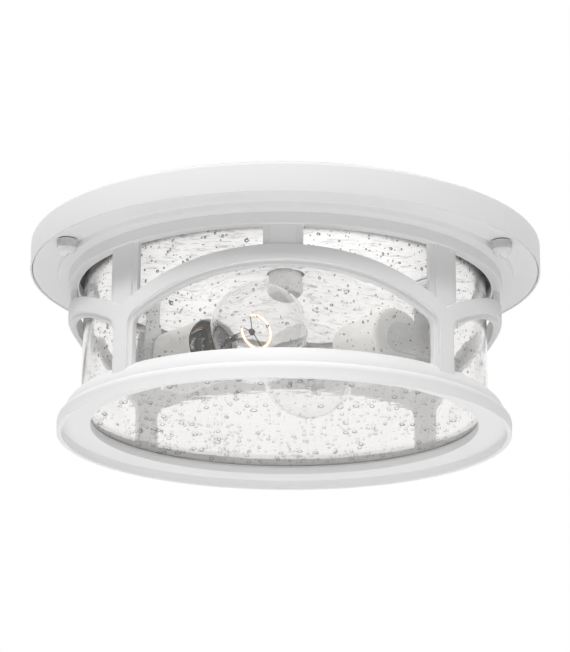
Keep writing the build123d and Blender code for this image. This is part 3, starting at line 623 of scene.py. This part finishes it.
def arch_bay(bay, soft):
    """One bay of arch and half posts: a lipped section carried along the window's edge.

    The path is the window's face edge unrolled on the face radius: up one side, a shoulder arc, the crown
    arc, a shoulder and down. The section reaches along the path's normal to the arch's upper edge or to the
    bay's end, whichever is nearer, and is then wrapped round the axis: angle = run / face radius.
    """
    post_run = FACE_RADIUS * radians(180 / BAYS)
    centre_z = ARCH_CROWN_Z - ARCH_RADIUS
    side = post_run - POST_HALF_WIDTH
    shoulder_run = side - ARCH_SHOULDER
    shoulder_z = centre_z + sqrt((ARCH_RADIUS - ARCH_SHOULDER) ** 2 - shoulder_run**2)
    lean = atan2(shoulder_run, shoulder_z - centre_z)
    crown = np.linspace(0, lean, 40)
    bend = np.linspace(lean, pi / 2, 14)[1:]
    drop = np.linspace(0, shoulder_z - POST_FOOT_Z, 10)[1:]
    run = np.concatenate(
        (
            ARCH_RADIUS * np.sin(crown),
            shoulder_run + ARCH_SHOULDER * np.sin(bend),
            np.full(drop.size, side),
        )
    )
    height = np.concatenate(
        (
            centre_z + ARCH_RADIUS * np.cos(crown),
            shoulder_z + ARCH_SHOULDER * np.cos(bend),
            shoulder_z - drop,
        )
    )
    angle = np.concatenate((crown, bend, np.full(drop.size, pi / 2)))
    run = np.concatenate((-run[:0:-1], run))
    height = np.concatenate((height[:0:-1], height))
    angle = np.concatenate((-angle[:0:-1], angle))
    normal_run, normal_z = np.sin(angle), np.cos(angle)
    to_end = (post_run - np.abs(run)) / np.maximum(np.abs(normal_run), 1e-6)
    along = run * normal_run + (height - centre_z) * normal_z
    reach = run**2 + (height - centre_z) ** 2
    to_top = np.sqrt(along**2 - reach + (ARCH_RADIUS + ARCH_BAND) ** 2) - along
    width = np.minimum(to_end, to_top)
    outer_ease = np.where(to_top < to_end, soft, 0.02)
    one = np.ones_like(width)
    reaches = (-WINDOW_LIP * one, -WINDOW_LIP * one, 0 * one, 0 * one, width, width)
    radii = (BAR_BACK_RADIUS, LIP_RADIUS, LIP_RADIUS, FACE_RADIUS, FACE_RADIUS, BAR_BACK_RADIUS)
    corners = np.stack([np.stack((across, radius * one), -1) for across, radius in zip(reaches, radii)], -2)
    ease = np.stack((0.3 * one, soft * one, 0.5 * one, soft * one, outer_ease, 0.02 * one), -1)
    section = eased(corners, ease)
    offset, radius = section[..., 0], section[..., 1]
    turn = (run[:, None] + offset * normal_run[:, None]) / FACE_RADIUS + bay * 2 * pi / BAYS
    z = height[:, None] + offset * normal_z[:, None]
    return shell(capped(np.stack((radius * np.sin(turn), -radius * np.cos(turn), z), -1)), False, True)


def upright_bar(bar, soft):
    """Bar between arch and top ring: a stepped section of (run, radius), wrapped round and drawn up."""
    corners = (
        (-WING_RUN, UPRIGHT_BACK_RADIUS),
        (-WING_RUN, WING_RADIUS),
        (-SPINE_RUN, WING_RADIUS),
        (-SPINE_RUN, SPINE_RADIUS),
        (SPINE_RUN, SPINE_RADIUS),
        (SPINE_RUN, WING_RADIUS),
        (WING_RUN, WING_RADIUS),
        (WING_RUN, UPRIGHT_BACK_RADIUS),
    )
    section = eased(corners, (0.3, 0.6 * soft, 0.5, soft, soft, 0.5, 0.6 * soft, 0.3))
    run = FACE_RADIUS * radians(180 / BAYS) * (bar % 2)
    foot = ARCH_CROWN_Z - ARCH_RADIUS + sqrt((ARCH_RADIUS + ARCH_BAND) ** 2 - run**2) - UPRIGHT_SINK
    height = np.linspace(foot, RING_BOTTOM_Z + UPRIGHT_SINK, 6)[:, None]
    turn = section[:, 0] / FACE_RADIUS + bar * pi / BAYS
    x, y = section[:, 1] * np.sin(turn), -section[:, 1] * np.cos(turn)
    points = np.stack(np.broadcast_arrays(x, y, height), -1)
    return shell(capped(points), False, True)


class CEILINGLIGHT_OT_glass_drum(bpy.types.Operator):
    """Make the seeded glass drum with its waves and bubbles"""

    bl_idname = "ceiling_light.glass_drum"
    bl_label = "Seeded glass drum"

    def execute(self, context):
        outer = GLASS_RADIUS
        inner = GLASS_RADIUS - GLASS_WALL
        inside_z = GLASS_BOTTOM_Z + GLASS_FLOOR
        middle, half = (outer + inner) / 2, GLASS_WALL / 2
        rim_z = GLASS_TOP_Z - half
        corner = np.linspace(-pi / 2, 0, 8)
        arch = np.linspace(0, pi, 10)
        rows = 24
        up = np.linspace(GLASS_BOTTOM_Z + GLASS_CORNER + 1, rim_z - 1, rows)
        down = np.linspace(rim_z - 1, inside_z + GLASS_HOLLOW + 1, rows)
        flat = GLASS_MIDDLE_RADIUS
        bend = np.stack((np.cos(corner), 1 + np.sin(corner)), -1)
        outline = np.concatenate(
            (
                ((0, GLASS_BOTTOM_Z), (flat, GLASS_BOTTOM_Z), (outer - GLASS_CORNER - 1, GLASS_BOTTOM_Z)),
                bend * GLASS_CORNER + (outer - GLASS_CORNER, GLASS_BOTTOM_Z),
                np.stack((np.full(rows, outer), up), -1),
                np.stack((middle + half * np.cos(arch), rim_z + half * np.sin(arch)), -1),
                np.stack((np.full(rows, inner), down), -1),
                bend[::-1] * GLASS_HOLLOW + (inner - GLASS_HOLLOW, inside_z),
                ((inner - GLASS_HOLLOW - 1, inside_z), (flat, inside_z), (0, inside_z)),
            )
        )
        points = self.waved(turned(outline, RING_TURNS), sizes().glass_wave / MM)
        # The seeds' dark rims are painted reflection in their colour, set by air_seed
        put(
            "glass_drum_seeded",
            "cage",
            [shell(points, True, False)],
            seeded_glass(),
            ["glass_drum"],
            crease=60,
            inlay=(self.seeds(), air_seed("air_seed", 1.5, 0.3, 0.75, "4A4A4B")),
        )
        # The blisters' near-black rims are painted reflection in their colour
        blister = air_seed("glass_blister", 1.0, 0.25, 0.75, "0E0E0F")
        put("floor_blisters", "cage", self.blisters(), blister, crease=180)
        return {"FINISHED"}

    def waved(self, points, height):
        """Add slow waves: the wall's skins move into the glass by a sum of sines of angle and height.

        The waves fade out towards the floor and the rim, and the two skins' waves are out of step, as in
        blown glass.
        """
        x, y, z = points[..., 0], points[..., 1], points[..., 2]
        radius = np.maximum(np.hypot(x, y), 1e-6)
        angle = np.arctan2(y, x)
        inside = radius < GLASS_RADIUS - GLASS_WALL / 2
        fade = np.clip((z - GLASS_BOTTOM_Z - 8) / 12, 0, 1) * np.clip((GLASS_TOP_Z - 4 - z) / 8, 0, 1)
        ripple = np.sin(9 * angle + z * 0.07 + 2.1 * inside)
        ripple = ripple + 0.7 * np.sin(23 * angle - z * 0.11 + 1.3 * inside)
        ripple = ripple + 0.6 * np.sin(z * 0.21 + 3 * angle + 0.7 * inside)
        push = height * fade * (2.3 + ripple) * np.where(inside, 1.0, -1.0)
        return np.stack((x * (1 + push / radius), y * (1 + push / radius), z), -1)

    def seeds(self):
        """Bubbles as voids in the wall: balls, stretched along the wall and flat enough to stay inside."""
        chance = np.random.default_rng(5)
        count = sizes().wall_seeds
        size = sizes().seed_radius / MM * np.exp(chance.normal(0, 0.4, count))
        size = np.clip(size, SEED_SMALLEST, SEED_LARGEST)
        stretch = np.exp(chance.normal(0, 0.14, count))
        turn = chance.uniform(0, 2 * pi, count)
        level = chance.uniform(GLASS_BOTTOM_Z + 5, GLASS_TOP_Z - 3, count)
        middle = GLASS_RADIUS - GLASS_WALL / 2
        centre = np.stack((middle * np.cos(turn), middle * np.sin(turn), level), -1)
        along = np.stack((-np.sin(turn), np.cos(turn), 0 * turn), -1)
        out = np.stack((np.cos(turn), np.sin(turn), 0 * turn), -1)
        reach = np.stack((size * stretch, size / stretch, np.minimum(size * 0.85, SEED_DEPTH)), -1)
        spread = np.stack((along, np.cross(out, along), out), 1) * reach[..., None]
        return self.balls(centre, spread, void=True)

    def blisters(self):
        """Bubbles in the skin under the floor: balls, half of each below the glass, spread over the disc."""
        chance = np.random.default_rng(8)
        count = sizes().floor_seeds
        size = 1.55 * sizes().seed_radius / MM * np.exp(chance.normal(0, 0.5, count))
        size = np.clip(size, SEED_SMALLEST, BLISTER_LARGEST)
        turn = chance.uniform(0, 2 * pi, count)
        radius = BLISTER_SPREAD * np.sqrt(chance.uniform(0, 1, count))
        level = np.full(count, GLASS_BOTTOM_Z)
        centre = np.stack((radius * np.cos(turn), radius * np.sin(turn), level), -1)
        stretch = np.exp(chance.normal(0, 0.12, count))
        reach = np.stack((size * stretch, size, np.minimum(size * 0.8, BLISTER_DEPTH)), -1)
        return self.balls(centre, np.eye(3) * reach[:, None], void=False)

    def balls(self, centre, spread, void):
        """Balls of latitude and longitude.

        Each point is centre + cos(lat)cos(lon) * first + cos(lat)sin(lon) * second + sin(lat) * third spread.
        """
        latitude = np.linspace(-pi / 2, pi / 2, 5)[:, None]
        longitude = np.linspace(0, 2 * pi, 7, endpoint=False)
        ball = np.broadcast_arrays(
            np.cos(latitude) * np.cos(longitude), np.cos(latitude) * np.sin(longitude), np.sin(latitude)
        )
        points = centre[:, None, None] + np.einsum("kab,nkj->nabj", np.stack(ball), spread)
        return [shell(one, False, True, void) for one in points]


class CEILINGLIGHT_OT_foil_pad(bpy.types.Operator):
    """Make the crinkled foil face of the heat pad"""

    bl_idname = "ceiling_light.foil_pad"
    bl_label = "Foil pad"

    def execute(self, context):
        # Points across the creased face
        count = 150
        face = np.linspace(PAD_HOLE_RADIUS, PAD_RADIUS - PAD_ROUND, count)
        slack = np.clip((face - PAD_HOLE_RADIUS) / (PAD_SLACK_RADIUS - PAD_HOLE_RADIUS), 0, 1)
        bend = np.linspace(0, pi / 2, 10)[1:]
        well_radius = WELL_RADIUS + PAN_SKIN + PAD_CLEARANCE
        top_z = PAN_TOP_Z - PAN_SKIN - PAD_CLEARANCE
        well_z = WELL_Z - PAN_SKIN - PAD_CLEARANCE
        radius = np.concatenate(
            (
                face,
                PAD_RADIUS - PAD_ROUND * (1 - np.sin(bend)),
                (PAD_RADIUS, well_radius, well_radius, PAD_HOLE_RADIUS),
            )
        )
        height = np.concatenate(
            (
                PAD_MIDDLE_Z - PAD_SAG * slack**2 * (3 - 2 * slack),
                PAD_MIDDLE_Z - PAD_SAG + PAD_ROUND * (1 - np.cos(bend)),
                (top_z, top_z, well_z, well_z),
            )
        )
        points = turned(np.stack((radius, height), -1), PAD_TURNS)
        x, y = points[:, :count, 0], points[:, :count, 1]
        chance = np.random.default_rng(11)
        crease = np.zeros_like(x)
        # Folds: the sharp troughs of |sin| waves in many directions, bent by a slow drift
        folds = 9
        for _ in range(folds):
            heading = chance.uniform(0, pi)
            pitch = chance.uniform(9, 30)
            drift = 7.0 * np.sin(x / 21 + chance.uniform(0, 6)) + 7.0 * np.sin(y / 17 + chance.uniform(0, 6))
            wave = np.sin((x * cos(heading) + y * sin(heading) + drift) * pi / pitch + chance.uniform(0, 6))
            crease += np.abs(wave) / folds
        points[:, :count, 2] += sizes().foil_crease / MM * crease * 1.6
        pad = put(
            "heat_pad_foil",
            "pan",
            [shell(points, True, True)],
            crinkled_foil(),
            ["heat_pad"],
            crease=70,
        )
        return {"FINISHED"}


class CEILINGLIGHT_OT_lampholders(bpy.types.Operator):
    """Make the lampholder cups and finish their cores, shells and brackets"""

    bl_idname = "ceiling_light.lampholders"
    bl_label = "Lampholders"

    def execute(self, context):
        # Vitreous enamel on pressed steel: a smooth white gloss with a faint flow
        enamel = mottled("white_enamel", "F2F2F0", "EAEAE8", 30, 5, 0.02, Roughness=0.3, Coat_Weight=0.2)
        # Phenolic resin moulding: near black, satin, with a fine filler grain
        phenolic = mottled("dark_phenolic", "4A4846", "353331", 3, 0.6, 0.02, Roughness=0.42)
        # Drawn brass: warm metal, dulled by handling
        brass = mottled("drawn_brass", "D9B566", "B98F45", 6, 0.8, 0.01, Metallic=1.0, Roughness=0.32)
        # Zinc-plated steel strip: pale grey metal with a slight spangle
        zinc = mottled("zinc_plate", "E6E7E7", "D6D7D8", 4, 0.7, 0.01, Metallic=0.3, Roughness=0.42)
        for number, (mouth, axis, outward) in enumerate(lamp_places(), start=1):
            cup = eased(
                (
                    (CUP_HOLE_RADIUS, -CUP_LENGTH),
                    (CUP_RADIUS, -CUP_LENGTH),
                    (CUP_RADIUS, 0.0),
                    (CUP_RADIUS - CUP_SKIN, 0.0),
                    (CUP_RADIUS - CUP_SKIN, CUP_SKIN - CUP_LENGTH),
                    (CUP_HOLE_RADIUS, CUP_SKIN - CUP_LENGTH),
                ),
                reach=(0.2, 4.0, 0.45, 0.45, 3.0, 0.2),
            )
            pieces = [lathed(cup, LAMP_TURNS, mouth, axis, outward)]
            put(f"cup_{number}", "pan", pieces, enamel, [f"lampholder_cup_{number}"])
            core = eased(
                (
                    (CUP_HOLE_RADIUS, CUP_SKIN - CUP_LENGTH),
                    (CORE_RADIUS, CUP_SKIN - CUP_LENGTH),
                    (CORE_RADIUS, CORE_FACE),
                    (GROOVE_OUTER, CORE_FACE),
                    (GROOVE_OUTER, CORE_FACE - GROOVE_DEPTH),
                    (GROOVE_INNER, CORE_FACE - GROOVE_DEPTH),
                    (GROOVE_INNER, CORE_FACE),
                    (CORE_BORE, CORE_FACE),
                    (CORE_BORE, CORE_FLOOR),
                    (CUP_HOLE_RADIUS, CORE_FLOOR),
                ),
                reach=(0.2, 3.0, 0.4, 0.3, 0.3, 0.3, 0.3, 0.5, 0.3, 0.2),
            )
            pieces = [lathed(core, LAMP_TURNS, mouth, axis, outward)]
            put(f"core_{number}", "pan", pieces, phenolic, [f"lampholder_core_{number}"])
            finish_node(f"screw_shell_{number}", brass)
            finish_node(f"centre_contact_{number}", brass)
            finish_node(f"lamp_bracket_{number}", zinc)
        for name in (
            "crossbar",
            "nipple",
            "locknut",
            "cover_studs",
            "stud_spacers",
            "foot_screws",
            "cup_screws",
            "flange_screws",
            "clip_screws",
            "glass_clips",
        ):
            finish_node(name, zinc)
        # Green lacquered steel: the usual mark of an earth screw
        lacquer = mottled("green_lacquer", "2E7A45", "236238", 3, 0.5, 0.01, Roughness=0.35)
        finish_node("ground_screw", lacquer)
        return {"FINISHED"}


class CEILINGLIGHT_OT_bulbs(bpy.types.Operator):
    """Make the clear bulbs with lit filament loops"""

    bl_idname = "ceiling_light.bulbs"
    bl_label = "Bulbs"

    def execute(self, context):
        # Soda-lime bulb glass, blown: thin, clear and sharp
        glass, tree, shader, _ = start_material(
            "bulb_glass", Base_Color=linear("FEFEFE"), Roughness=0.0, IOR=1.48, Transmission_Weight=1.0
        )
        pass_lamps(tree, shader)
        # Rolled aluminium cap: bright metal, a little scuffed
        cap = mottled("rolled_aluminium", "D6D7D8", "BFC0C2", 5, 0.6, 0.01, Metallic=1.0, Roughness=0.3)
        # Black vitrite: glossy glass that insulates the foot
        vitrite = mottled("black_vitrite", "1B1B1D", "101012", 3, 1.0, 0.01, Roughness=0.15)
        # Lead-free solder: dull grey blob
        solder = mottled("dull_solder", "A9ABAC", "8E9092", 2, 0.6, 0.02, Metallic=0.9, Roughness=0.5)
        # Molybdenum support wire: dark grey drawn metal
        support = mottled("dark_wire", "4C4A48", "2E2C2B", 2, 0.4, 0.005, Metallic=0.8, Roughness=0.45)
        # Filament: the first lamp burns, white inside and amber at the coil's edges; the second is cold wire
        glow = tuple(colours().glow)
        cold = mottled("cold_tungsten", "9A9A9B", "7E7E80", 2, 0.4, 0.005, Metallic=0.9, Roughness=0.4)
        wires = {
            1: (
                hot_tungsten("white_hot_tungsten", linear("FFFFFF"), glow, 5.0),
                hot_tungsten("amber_tungsten", linear("FFEBD2"), linear("F4AE62"), 1.0),
            ),
            2: (cold, cold),
        }
        for number, (mouth, axis, outward) in enumerate(lamp_places(), start=1):
            body = f"bulb_{number}"
            outline = np.concatenate((self.envelope(0.0), self.envelope(BULB_WALL)[::-1]))
            put(
                f"bulb_envelope_{number}",
                body,
                [shell(turned(outline, LAMP_TURNS, mouth, axis, outward), True, False)],
                glass,
                [f"bulb_glass_{number}"],
            )
            inside, outside = wires[number]
            put(
                f"filament_coil_{number}",
                body,
                [self.coil(mouth, axis, outward, 0.0, CORE_WIRE)],
                inside,
                [f"bulb_filament_{number}"],
                inlay=([self.coil(mouth, axis, outward, COIL_SWING, COIL_WIRE)], outside),
            )
            put(f"filament_wires_{number}", body, self.wires(mouth, axis, outward), support)
            finish_node(f"bulb_stem_{number}", glass)
            finish_node(f"bulb_cap_{number}", cap)
            finish_node(f"bulb_insulator_{number}", vitrite)
            finish_node(f"bulb_tip_{number}", solder)
        return {"FINISHED"}

    def envelope(self, wall):
        """Bulb outline from foot to crown, inset by the wall: a neck, a hollow sweep and a round head."""
        head, neck, sweep, start = HEAD_RADIUS - wall, NECK_RADIUS - wall, NECK_SWEEP + wall, BULB_FOOT + wall
        sweep_x = HEAD_REACH - sqrt((head + sweep) ** 2 - (neck + sweep) ** 2)
        lean = atan2(neck + sweep, HEAD_REACH - sweep_x)
        hollow = np.linspace(pi / 2, lean, 16)
        ball = np.linspace(pi - lean, 0, 40)
        return np.concatenate(
            (
                ((0.0, start), (neck - 1.5, start), (neck, start + 1.5)),
                np.stack((neck + sweep - sweep * np.sin(hollow), sweep_x + sweep * np.cos(hollow)), -1),
                np.stack((head * np.sin(ball), HEAD_REACH + head * np.cos(ball)), -1)[1:],
            )
        )

    def coil(self, mouth, axis, outward, swing_radius, wire_radius):
        """Wire along a loop: a small circle that turns many times while it goes round the large one."""
        up = np.array((0.0, 0.0, 1.0))
        t = np.linspace(0, 1, 1500)[:, None]
        turn = radians(LOOP_START) + t * radians(LOOP_TURN)
        radial = np.cos(turn) * up + np.sin(turn) * outward
        swing = t * 2 * pi * LOOP_COILS
        path = mouth + axis * LOOP_REACH + radial * (LOOP_RADIUS + swing_radius * np.cos(swing))
        return tube(path + axis * swing_radius * np.sin(swing), wire_radius, 6)

    def wires(self, mouth, axis, outward):
        """Straight support wires from the stem to the loop's ends, and a button on the stem."""
        up = np.array((0.0, 0.0, 1.0))
        root = mouth + axis * SUPPORT_ROOT
        shells = []
        for degrees in (LOOP_START, LOOP_START + 0.4 * LOOP_TURN, LOOP_START + LOOP_TURN):
            radial = cos(radians(degrees)) * up + sin(radians(degrees)) * outward
            end = mouth + axis * LOOP_REACH + radial * LOOP_RADIUS
            t = np.linspace(0, 1, 8)[:, None]
            shells.append(tube(root * (1 - t) + end * t, SUPPORT_WIRE, 8))
        button = turned(np.array(STEM_BUTTON), BUTTON_TURNS, mouth, axis, outward)
        shells.append(shell(button, True, False))
        return shells


def tube(path, radius, sides):
    """Round wire along a path: a circle in the plane of two directions square to the path's slope."""
    slope = np.gradient(path, axis=0)
    slope = slope / np.linalg.norm(slope, axis=1, keepdims=True)
    guide = np.where(np.abs(slope[:, 2:]) > 0.9, (1.0, 0.0, 0.0), (0.0, 0.0, 1.0))
    first = np.cross(slope, guide)
    first = first / np.linalg.norm(first, axis=1, keepdims=True)
    second = np.cross(slope, first)
    angle = np.linspace(0, 2 * pi, sides, endpoint=False)[:, None]
    ring = np.cos(angle) * first[:, None] + np.sin(angle) * second[:, None]
    return shell(capped(path[:, None] + ring * radius), False, True)


class CEILINGLIGHT_OT_knobs(bpy.types.Operator):
    """Finish the knobs and add their knurled bands"""

    bl_idname = "ceiling_light.knobs"
    bl_label = "Knobs"

    def execute(self, context):
        coat = bpy.data.materials["powder_coat"]
        # Knurl band: pale grey with a fine darker speckle, painted shade of its ridges and grooves
        knurl_shade = mottled("knurl_painted_shade", "EEEEEE", "B8B8B9", 0.7, 0.5, 0.03, Roughness=0.5)
        count = sizes().knurls
        for number in range(1, KNOBS + 1):
            finish_node(f"knob_{number}", coat)
            low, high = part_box(f"knob_{number}")
            centre = np.array(((low.x + high.x) / 2, (low.y + high.y) / 2, 0)) / MM
            top = high.z / MM - KNURL_INSET
            foot = top - KNURL_LENGTH
            band = eased(block(KNURL_BORE, KNURL_RADIUS, top, foot), (0.1, 0.25, 0.25, 0.1), 4)
            points = turned(band, count * 8, centre)
            # Ridges: the radius swings with the cosine of the knurl count times the angle
            angle = np.linspace(0, 2 * pi, count * 8, endpoint=False)[:, None]
            away = points[..., :2] - centre[:2]
            outside = np.hypot(away[..., 0], away[..., 1]) > KNURL_BORE + KNURL_INSET
            swing = 1 + KNURL_SWING * np.cos(count * angle) * outside
            points[..., :2] = centre[:2] + away * swing[..., None]
            ridges = [shell(points, True, True)]
            put(f"knob_knurl_{number}", f"knob_{number}", ridges, knurl_shade)
        return {"FINISHED"}


class CEILINGLIGHT_OT_soft_rings(bpy.types.Operator):
    """Make the foam ceiling gasket and the glass seat"""

    bl_idname = "ceiling_light.soft_rings"
    bl_label = "Gasket and seat"

    def execute(self, context):
        # Closed-cell foam, die cut: matt white with fine pores
        foam = mottled("white_foam", "F0F0EE", "E4E4E1", 3, 0.5, 0.08, Roughness=0.9)
        # Cast silicone: milky, soft sheen
        silicone = mottled("milky_silicone", "E6E6E3", "DADAD6", 5, 1.0, 0.01, Roughness=0.45)
        gasket = eased(block(GASKET_INNER, GASKET_OUTER, PAN_TOP_Z, 0.0), (0.3, 0.3, 0.7, 0.7))
        rings = [lathed(gasket, RING_TURNS)]
        piece = put("foam_gasket", "pan", rings, foam, ["ceiling_gasket"])
        seat = eased(block(SEAT_INNER, SEAT_OUTER, LEDGE_Z, SEAT_TOP_Z), 0.3)
        rings = [lathed(seat, RING_TURNS)]
        put("silicone_seat", "cage", rings, silicone, ["glass_seat"])
        return {"FINISHED"}


class CEILINGLIGHT_OT_stage(bpy.types.Operator):
    """Set the floor, the world, the lamps and the camera"""

    bl_idname = "ceiling_light.stage"
    bl_label = "Stage"

    def execute(self, context):
        scene = context.scene
        scene.view_settings.view_transform = "Standard"
        self.world(scene)
        # Matt paper floor, far enough down to leave room for a look from straight below
        pale = tuple(colours().floor)
        material, tree, shader, place = start_material("pale_paper", Roughness=0.9, Base_Color=pale)
        grain = add(tree, "ShaderNodeTexNoise", {"Vector": place, "Scale": per_mm(6), "Detail": 2.0})
        skin = {"Height": grain.outputs["Fac"], "Strength": 0.1, "Distance": 0.2 * MM}
        bump = add(tree, "ShaderNodeBump", skin)
        tree.links.new(bump.outputs["Normal"], shader.inputs["Normal"])
        self.disc(scene, "floor", FLOOR_RADIUS, FLOOR_Z, material)
        # Net scrim: it only takes down the lamps' light on the pan's upturned face
        material, tree, _, _ = start_material("scrim_net")
        net = add(tree, "ShaderNodeBsdfTransparent", {"Color": (SCRIM, SCRIM, SCRIM, 1.0)})
        tree.links.new(net.outputs[0], tree.nodes["Material Output"].inputs["Surface"])
        self.disc(scene, "scrim", SCRIM_RADIUS, SCRIM_Z, material).visible_camera = False
        self.lamp(scene, "key", (0, -1.96, 2.28), (3.4, 0.3), 44.0)
        self.lamp(scene, "left", (-1.63, -0.94, 2.34), (1.6, 0.4), 34.0)
        self.lamp(scene, "right", (1.63, -0.94, 2.34), (1.6, 0.4), 18.0)
        self.lamp(scene, "back", (0, 2.76, 1.23), (2.5, 0.6), 20.0)
        self.lamp(scene, "bounce", (0, -0.3, -1.05), (2.2, 2.2), 7.6)
        # The bulbs' own light: up on to the pad, and round about
        self.lamp(scene, "bulb_glow", (0, 0, -0.0318), (0.262, 0.262), 0.13, (0, 0, 0))
        self.lamp(scene, "front_glow", (-0.01, -0.105, -0.072), (0.08, 0.04), 0.03, (0.06, 0, -0.068))
        for mouth, axis, _ in lamp_places():
            data = bpy.data.lights.new("bulb_light", "POINT")
            data.energy = 0.04
            data.shadow_soft_size = 0.02
            self.hang(scene, data, (mouth + axis * LOOP_REACH) * MM)
        self.camera(scene)
        return {"FINISHED"}

    def disc(self, scene, name, radius, height, material):
        """Flat round sheet of the studio."""
        angle = np.linspace(0, 2 * pi, 64, endpoint=False)
        ring = np.stack((radius * np.cos(angle), radius * np.sin(angle), np.full(64, height)), -1)
        mesh = bpy.data.meshes.new(name)
        mesh.from_pydata(ring.tolist(), [], [list(range(64))])
        mesh.materials.append(material)
        sheet = bpy.data.objects.new(name, mesh)
        scene.collection.objects.link(sheet)
        return sheet

    def world(self, scene):
        """White studio: plain white where it is seen, reflected or seen through glass, and less as light."""
        world = bpy.data.worlds.new("studio")
        scene.world = world
        world.use_nodes = True
        tree = world.node_tree
        path = add(tree, "ShaderNodeLightPath")
        seen = path.outputs["Is Camera Ray"]
        for kind in ("Is Glossy Ray", "Is Transmission Ray"):
            either = add(tree, "ShaderNodeMath", {0: seen, 1: path.outputs[kind]}, operation="MAXIMUM")
            seen = either.outputs[0]
        sky = add(tree, "ShaderNodeSeparateXYZ", {0: add(tree, "ShaderNodeTexCoord").outputs["Generated"]})
        height = add(tree, "ShaderNodeMapRange", {"Value": sky.outputs["Z"], "From Min": -1.0})
        bands = add(tree, "ShaderNodeValToRGB", {"Fac": height.outputs["Result"]})
        for _ in STUDIO_BANDS[2:]:
            bands.color_ramp.elements.new(1.0)
        for stop, (place, level) in zip(bands.color_ramp.elements, STUDIO_BANDS):
            stop.position = place
            stop.color = (level, level, level, 1.0)
        tones = {"Factor": seen, "A": bands.outputs["Color"], "B": linear("FFFFFF")}
        colour = add(tree, "ShaderNodeMix", tones, data_type="RGBA")
        tree.links.new(colour.outputs["Result"], tree.nodes["Background"].inputs["Color"])

    def lamp(self, scene, name, place, size, power, target=LIGHT_MIDDLE):
        """Soft flat lamp that faces a target, by itself the middle of the light."""
        data = bpy.data.lights.new(name, "AREA")
        data.shape = "ELLIPSE"
        data.size, data.size_y = size
        data.energy = power
        lamp = self.hang(scene, data, place)
        lamp.rotation_euler = (Vector(target) - lamp.location).to_track_quat("-Z", "Y").to_euler()

    def hang(self, scene, data, place):
        """Put a lamp at a place, seen neither by the camera nor through glass nor as a glint."""
        lamp = bpy.data.objects.new(data.name, data)
        scene.collection.objects.link(lamp)
        lamp.location = place
        lamp.visible_camera = False
        lamp.visible_transmission = False
        lamp.visible_glossy = False
        return lamp

    def camera(self, scene):
        """Camera below the light, pitched up, as in the photograph."""
        data = bpy.data.cameras.new("camera")
        data.lens = CAMERA_LENS
        data.sensor_width = 36.0
        data.clip_start = 0.05
        camera = bpy.data.objects.new("camera", data)
        scene.collection.objects.link(camera)
        azimuth = radians(CAMERA_AZIMUTH)
        place = (CAMERA_DISTANCE * MM * sin(azimuth), -CAMERA_DISTANCE * MM * cos(azimuth), CAMERA_Z * MM)
        turn = Matrix.Rotation(azimuth, 4, "Z") @ Matrix.Rotation(radians(90 + CAMERA_PITCH), 4, "X")
        camera.matrix_world = Matrix.Translation(place) @ turn @ Matrix.Rotation(radians(CAMERA_ROLL), 4, "Z")
        scene.camera = camera


class CEILINGLIGHT_PT_panel(bpy.types.Panel):
    """Steps that dress the ceiling light"""

    bl_idname = "CEILINGLIGHT_PT_panel"
    bl_label = "Ceiling Light"
    bl_space_type = "VIEW_3D"
    bl_region_type = "UI"
    bl_category = "Ceiling Light"

    def draw(self, context):
        for group in (context.scene.ceiling_light_sizes, context.scene.ceiling_light_colours):
            for name in group.__annotations__:
                self.layout.prop(group, name)
        for operator in OPERATORS:
            self.layout.operator(operator.bl_idname)


OPERATORS = (
    CEILINGLIGHT_OT_coated_metal,
    CEILINGLIGHT_OT_glass_drum,
    CEILINGLIGHT_OT_foil_pad,
    CEILINGLIGHT_OT_lampholders,
    CEILINGLIGHT_OT_bulbs,
    CEILINGLIGHT_OT_knobs,
    CEILINGLIGHT_OT_soft_rings,
    CEILINGLIGHT_OT_stage,
)
CLASSES = (CeilingLightSizes, CeilingLightColours, *OPERATORS, CEILINGLIGHT_PT_panel)


def register():
    """Add the settings, the steps and the panel."""
    for cls in CLASSES:
        bpy.utils.register_class(cls)
    bpy.types.Scene.ceiling_light_sizes = bpy.props.PointerProperty(type=CeilingLightSizes)
    bpy.types.Scene.ceiling_light_colours = bpy.props.PointerProperty(type=CeilingLightColours)


def unregister():
    """Take the panel, the steps and the settings away again."""
    del bpy.types.Scene.ceiling_light_colours
    del bpy.types.Scene.ceiling_light_sizes
    for cls in reversed(CLASSES):
        bpy.utils.unregister_class(cls)


def main():
    """Dress the light."""
    register()
    bpy.ops.ceiling_light.coated_metal()
    bpy.ops.ceiling_light.glass_drum()
    bpy.ops.ceiling_light.foil_pad()
    bpy.ops.ceiling_light.lampholders()
    bpy.ops.ceiling_light.bulbs()
    bpy.ops.ceiling_light.knobs()
    bpy.ops.ceiling_light.soft_rings()
    bpy.ops.ceiling_light.stage()


if __name__ == "__main__":
    main()
